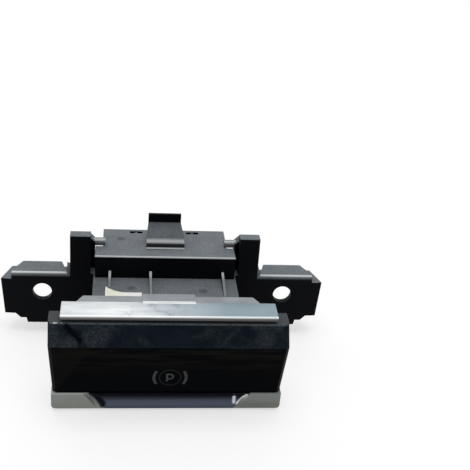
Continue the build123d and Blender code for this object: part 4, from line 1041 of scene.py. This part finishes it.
class SWITCH_OT_slip(bpy.types.Operator):
    """Lay the blank slip of paper on the deck"""

    bl_idname = "brake_switch.slip"
    bl_label = "Paper slip"

    def execute(self, context):
        look = context.scene.switch_slip
        housing = bpy.data.objects["front_housing_finished"]
        above = (look.left + look.length * 0.75, look.front + look.depth / 2, 0.03)
        spot, _ = meet(housing, above, (0, 0, -1))
        # The slip lies flat at its right and lifts in a soft curve towards its left end: the curl is the lift
        # times the square of what is left of 0.55 of its length, and a little more towards its middle depth
        u, v = np.meshgrid(np.linspace(0, 1, 40), np.linspace(0, 1, 24), indexing="ij")
        curl = look.lift * (1 - np.clip(u / 0.55, 0, 1)) ** 2 * (1 + 0.25 * np.sin(2.2 * v))
        height = spot[2] + look.thickness + curl
        points = np.stack((look.left + look.length * u, look.front + look.depth * v, height), axis=-1)
        faces = grid_faces(*u.shape)[:, ::-1]
        piece = new_piece("paper_slip", points, faces.tolist(), paper(look), weld=False)
        solid = piece.modifiers.new("Thickness", "SOLIDIFY")
        solid.thickness = look.thickness
        solid.offset = -1
        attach(piece, "housing")
        return {"FINISHED"}


def coil(low, high, wire, turns):
    """A spring between two corners of a box: a round wire carried along a helix with closed end turns.

    Over the first and last 0.8 of a turn the helix rises by 1.1 wire radii, and evenly in between."""
    share = np.linspace(0, 1, int(turns * 36) + 1)
    angles = 2 * pi * turns * share
    end_turn = 0.8 / turns
    end_rise = 2.2 * wire
    climb = np.clip((share - end_turn) / (1 - 2 * end_turn), 0, 1)
    ends = (np.clip(share / end_turn, 0, 1) - np.clip((1 - share) / end_turn, 0, 1) + 1) / 2
    out = np.stack((np.cos(angles), np.sin(angles), np.zeros_like(angles)), axis=1)
    centre = (low + high) / 2
    path = np.array((centre[0], centre[1], low[2] + wire)) + ((high[0] - low[0]) / 2 - wire) * out
    path[:, 2] += ends * end_rise + climb * (high[2] - low[2] - 2 * wire - end_rise)
    ahead = unit(np.gradient(path, axis=0))
    side = unit(out - (out * ahead).sum(axis=1, keepdims=True) * ahead)
    around = np.arange(12) * 2 * pi / 12
    section = wire * np.stack((np.cos(around), np.sin(around)), axis=1)
    return carried(path, side, np.cross(ahead, side), section)


class SWITCH_OT_springs(bpy.types.Operator):
    """Wind the centring springs from round wire"""

    bl_idname = "brake_switch.springs"
    bl_label = "Springs"

    def execute(self, context):
        wire = context.scene.switch_small.wire
        for level, turns in (("lower", 5.5), ("upper", 4.0)):
            for side in ("left", "right"):
                node = f"{level}_spring_{side}"
                low, high = (np.array(corner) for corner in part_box(node))
                piece = new_piece(
                    f"{node}_wire", *coil(low, high, wire, turns), finish("spring_steel"), weld=False)
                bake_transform(piece)
                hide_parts(node)
        return {"FINISHED"}


def screw(centre, head_r, head_h, shank_r, shank_l, look):
    """A pan head screw that points up: its profile is turned about its axis, its top is dented by a cross.

    The head's top edge is a quarter round. The shank's radius rises and falls with its length to make
    ridges, and its tip is tapered."""
    steps_a_ridge = 6
    tip_share = 0.12
    drop = np.linspace(0, 1, int(shank_l / look.pitch * steps_a_ridge) + 2)
    ridged = shank_r * (0.88 + 0.12 * np.cos(2 * pi * shank_l * drop / look.pitch))
    taper = np.clip((1 - drop) / tip_share, 0.25, 1)
    shank = np.stack((ridged * taper, -shank_l * drop), axis=1)[::-1]
    round_r = 0.5 * head_h
    bend = np.linspace(0, pi / 2, 7)
    rim = np.stack((head_r - round_r + round_r * np.cos(bend), head_h - round_r + round_r * np.sin(bend)), 1)
    face_r = np.linspace(head_r - round_r, 0, 22)[1:]
    face = np.stack((face_r, np.full_like(face_r, head_h)), axis=1)
    profile = np.concatenate((((0.0, -shank_l),), shank, ((head_r, 0.0),), rim, face))

    def cross(x, y, rows):
        """The recess: full depth within the slots' width and reach, with steep walls."""
        slot_half = 0.22 * look.recess
        slope = 0.00016
        end_slope = 0.0002
        narrow = np.minimum(np.abs(x), np.abs(y))
        slot = np.clip((slot_half + slope / 2 - narrow) / slope, 0, 1)
        reach = np.clip((look.recess - np.hypot(x, y)) / end_slope, 0, 1)
        on_top = rows[:, 1:] > head_h - 0.5 * round_r
        return look.recess_depth * slot * reach * on_top

    return turned(profile, centre, (0, 0, -1), (1, 0, 0), 48, cross)


class SWITCH_OT_screws(bpy.types.Operator):
    """Make the base cover's screws with their recesses and threads, and finish the other steel parts"""

    bl_idname = "brake_switch.screws"
    bl_label = "Screws"

    def execute(self, context):
        look = context.scene.switch_small
        head_r, head_h, shank_r = 0.0021, 0.0008, 0.001
        low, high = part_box("base_screws")
        shank_l = high[2] - low[2] - head_h
        parts = [
            screw((x, y, low[2] + head_h), head_r, head_h, shank_r, shank_l, look)
            for x in (low[0] + head_r, high[0] - head_r)
            for y in (low[1] + head_r, high[1] - head_r)
        ]
        piece = new_piece("base_screws_threaded", *join_arrays(parts), finish("zinc_steel"))
        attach(piece, "housing")
        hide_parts("base_screws")
        for node in ("paddle_screws", "board_screws", "hinge_rod"):
            dress(node, "zinc_steel", SMALL_EDGE)
        dress("rod_clips", "spring_steel", SMALL_EDGE)
        return {"FINISHED"}


class SWITCH_OT_inner(bpy.types.Operator):
    """Finish the stops, the circuit board and what stands on it"""

    bl_idname = "brake_switch.inner"
    bl_label = "Inner parts"

    def execute(self, context):
        for node, slot in (
            ("pull_stop_pads", "stop_rubber"),
            ("push_stop_pads", "stop_rubber"),
            ("circuit_board", "board_laminate"),
            ("hall_sensors", "chip_body"),
            ("control_chip", "chip_body"),
            ("board_capacitors", "capacitor_ceramic"),
            ("symbol_lamp", "lamp_white"),
            ("light_pipe", "clear_plastic"),
            ("connector_pins", "tinned_brass"),
        ):
            dress(node, slot, BOARD_EDGE)
        return {"FINISHED"}


def softbox(name, spot, width, height, power):
    """An area light at a place, turned to face the object's middle."""
    lamp = bpy.data.lights.new(name, "AREA")
    lamp.shape = "RECTANGLE"
    lamp.size = width
    lamp.size_y = height
    lamp.energy = power
    light = bpy.data.objects.new(name, lamp)
    light.location = spot
    light.rotation_euler = (-Vector(spot)).to_track_quat("-Z", "Y").to_euler()
    bpy.context.scene.collection.objects.link(light)


def stand_camera(scene, look):
    """Stand the camera at its place, rolled, tilted down from level and turned to its heading."""
    camera = bpy.data.cameras.new("Camera")
    camera.lens = look.lens
    camera.sensor_width = 36.0
    camera.clip_start = 0.01
    viewer = bpy.data.objects.new("Camera", camera)
    heading = Matrix.Rotation(-look.yaw, 4, "Z")
    tilt = Matrix.Rotation(pi / 2 - look.pitch, 4, "X")
    roll = Matrix.Rotation(-look.roll, 4, "Z")
    viewer.matrix_world = Matrix.Translation(look.camera_place) @ heading @ tilt @ roll
    scene.collection.objects.link(viewer)
    scene.camera = viewer


def background_share(tree):
    """1 for the rays that show the white background, seen directly, in gloss or through glass, and else 0."""
    path = put(tree, "LightPath").outputs
    return calc("MAXIMUM", path["Is Camera Ray"], path["Is Glossy Ray"], path["Is Transmission Ray"])


def lay_floor(look):
    """Lay the floor: it takes the shadow, and what shows it is made white. From below it is clear."""
    material, tree, sockets = start_material("Floor", Roughness=0.9, Specular_IOR_Level=0.1)
    seen = background_share(tree)
    # Where it is seen, the floor's own colour gives way to the glow, and the two add up to white
    dimmed = shade(look.floor, (1 - look.floor_glow) * 1.25)
    feed(blend(seen, look.floor, dimmed), sockets["Base Color"])
    feed((1.0, 1.0, 1.0), sockets["Emission Color"])
    feed(times(seen, look.floor_glow), sockets["Emission Strength"])
    below = put(tree, "NewGeometry").outputs["Backfacing"]
    lit = tree.nodes["Principled BSDF"].outputs[0]
    clear = put(tree, "BsdfTransparent").outputs[0]
    surface = put(tree, "MixShader", {0: below, 1: lit, 2: clear}).outputs[0]
    feed(surface, tree.nodes["Material Output"].inputs["Surface"])
    reach = (-FLOOR_REACH, FLOOR_REACH)
    u, v = np.meshgrid(reach, reach, indexing="ij")
    points = np.stack((u, v, np.full_like(u, cad_box[0][2] - FLOOR_GAP)), axis=-1)
    new_piece("floor", points, grid_faces(2, 2)[:, ::-1].tolist(), material, weld=False)


def surround(scene, look):
    """Light from all sides, a little stronger from above, and white where it is seen."""
    world = bpy.data.worlds.new("Surround")
    world.use_nodes = True
    scene.world = world
    tree = world.node_tree
    height = apart(put(tree, "TexCoord").outputs["Generated"])["Z"]
    light = ramp(height, 0.0, 1.0, look.horizon, look.zenith)
    background = tree.nodes["Background"].inputs
    feed((1.0, 1.0, 1.0), background["Color"])
    feed(calc("MAXIMUM", light, background_share(tree)), background["Strength"])


class SWITCH_OT_stage(bpy.types.Operator):
    """Set up the camera, the pale floor and the studio light"""

    bl_idname = "brake_switch.stage"
    bl_label = "Stage"

    def execute(self, context):
        look = context.scene.switch_stage
        stand_camera(context.scene, look)
        lay_floor(look)
        softbox("Back light", (-0.15, 1.05, 0.75), 1.4, 1.0, look.key_power)
        softbox("Top light", (0.0, -0.1, 1.3), 1.0, 1.0, look.top_power)
        surround(context.scene, look)
        context.scene.view_settings.view_transform = "Standard"
        return {"FINISHED"}


LOOKS = (
    ("switch_housing", HousingLook),
    ("switch_paddle", PaddleLook),
    ("switch_trim", TrimLook),
    ("switch_symbol", SymbolLook),
    ("switch_slip", SlipLook),
    ("switch_small", SmallPartsLook),
    ("switch_stage", StageLook),
)

OPERATORS = (
    SWITCH_OT_mouldings,
    SWITCH_OT_trim,
    SWITCH_OT_paddle,
    SWITCH_OT_symbol,
    SWITCH_OT_slip,
    SWITCH_OT_springs,
    SWITCH_OT_screws,
    SWITCH_OT_inner,
    SWITCH_OT_stage,
)


class SWITCH_PT_build(bpy.types.Panel):
    """The steps that make the switch, in order"""

    bl_idname = "SWITCH_PT_build"
    bl_label = "Parking Brake Switch"
    bl_space_type = "VIEW_3D"
    bl_region_type = "UI"
    bl_category = "Brake Switch"

    def draw(self, context):
        for operator in OPERATORS:
            self.layout.operator(operator.bl_idname)
        for attribute, look in LOOKS:
            box = self.layout.box()
            for label in look.__annotations__:
                box.prop(getattr(context.scene, attribute), label)


def register():
    for attribute, look in LOOKS:
        bpy.utils.register_class(look)
        setattr(bpy.types.Scene, attribute, PointerProperty(type=look))
    for operator in OPERATORS:
        bpy.utils.register_class(operator)
    bpy.utils.register_class(SWITCH_PT_build)


def unregister():
    bpy.utils.unregister_class(SWITCH_PT_build)
    for operator in reversed(OPERATORS):
        bpy.utils.unregister_class(operator)
    for attribute, look in reversed(LOOKS):
        delattr(bpy.types.Scene, attribute)
        bpy.utils.unregister_class(look)


def main():
    """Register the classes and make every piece."""
    register()
    bpy.ops.brake_switch.mouldings()
    bpy.ops.brake_switch.trim()
    bpy.ops.brake_switch.paddle()
    bpy.ops.brake_switch.symbol()
    bpy.ops.brake_switch.slip()
    bpy.ops.brake_switch.springs()
    bpy.ops.brake_switch.screws()
    bpy.ops.brake_switch.inner()
    bpy.ops.brake_switch.stage()
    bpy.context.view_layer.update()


if __name__ == "__main__":
    main()
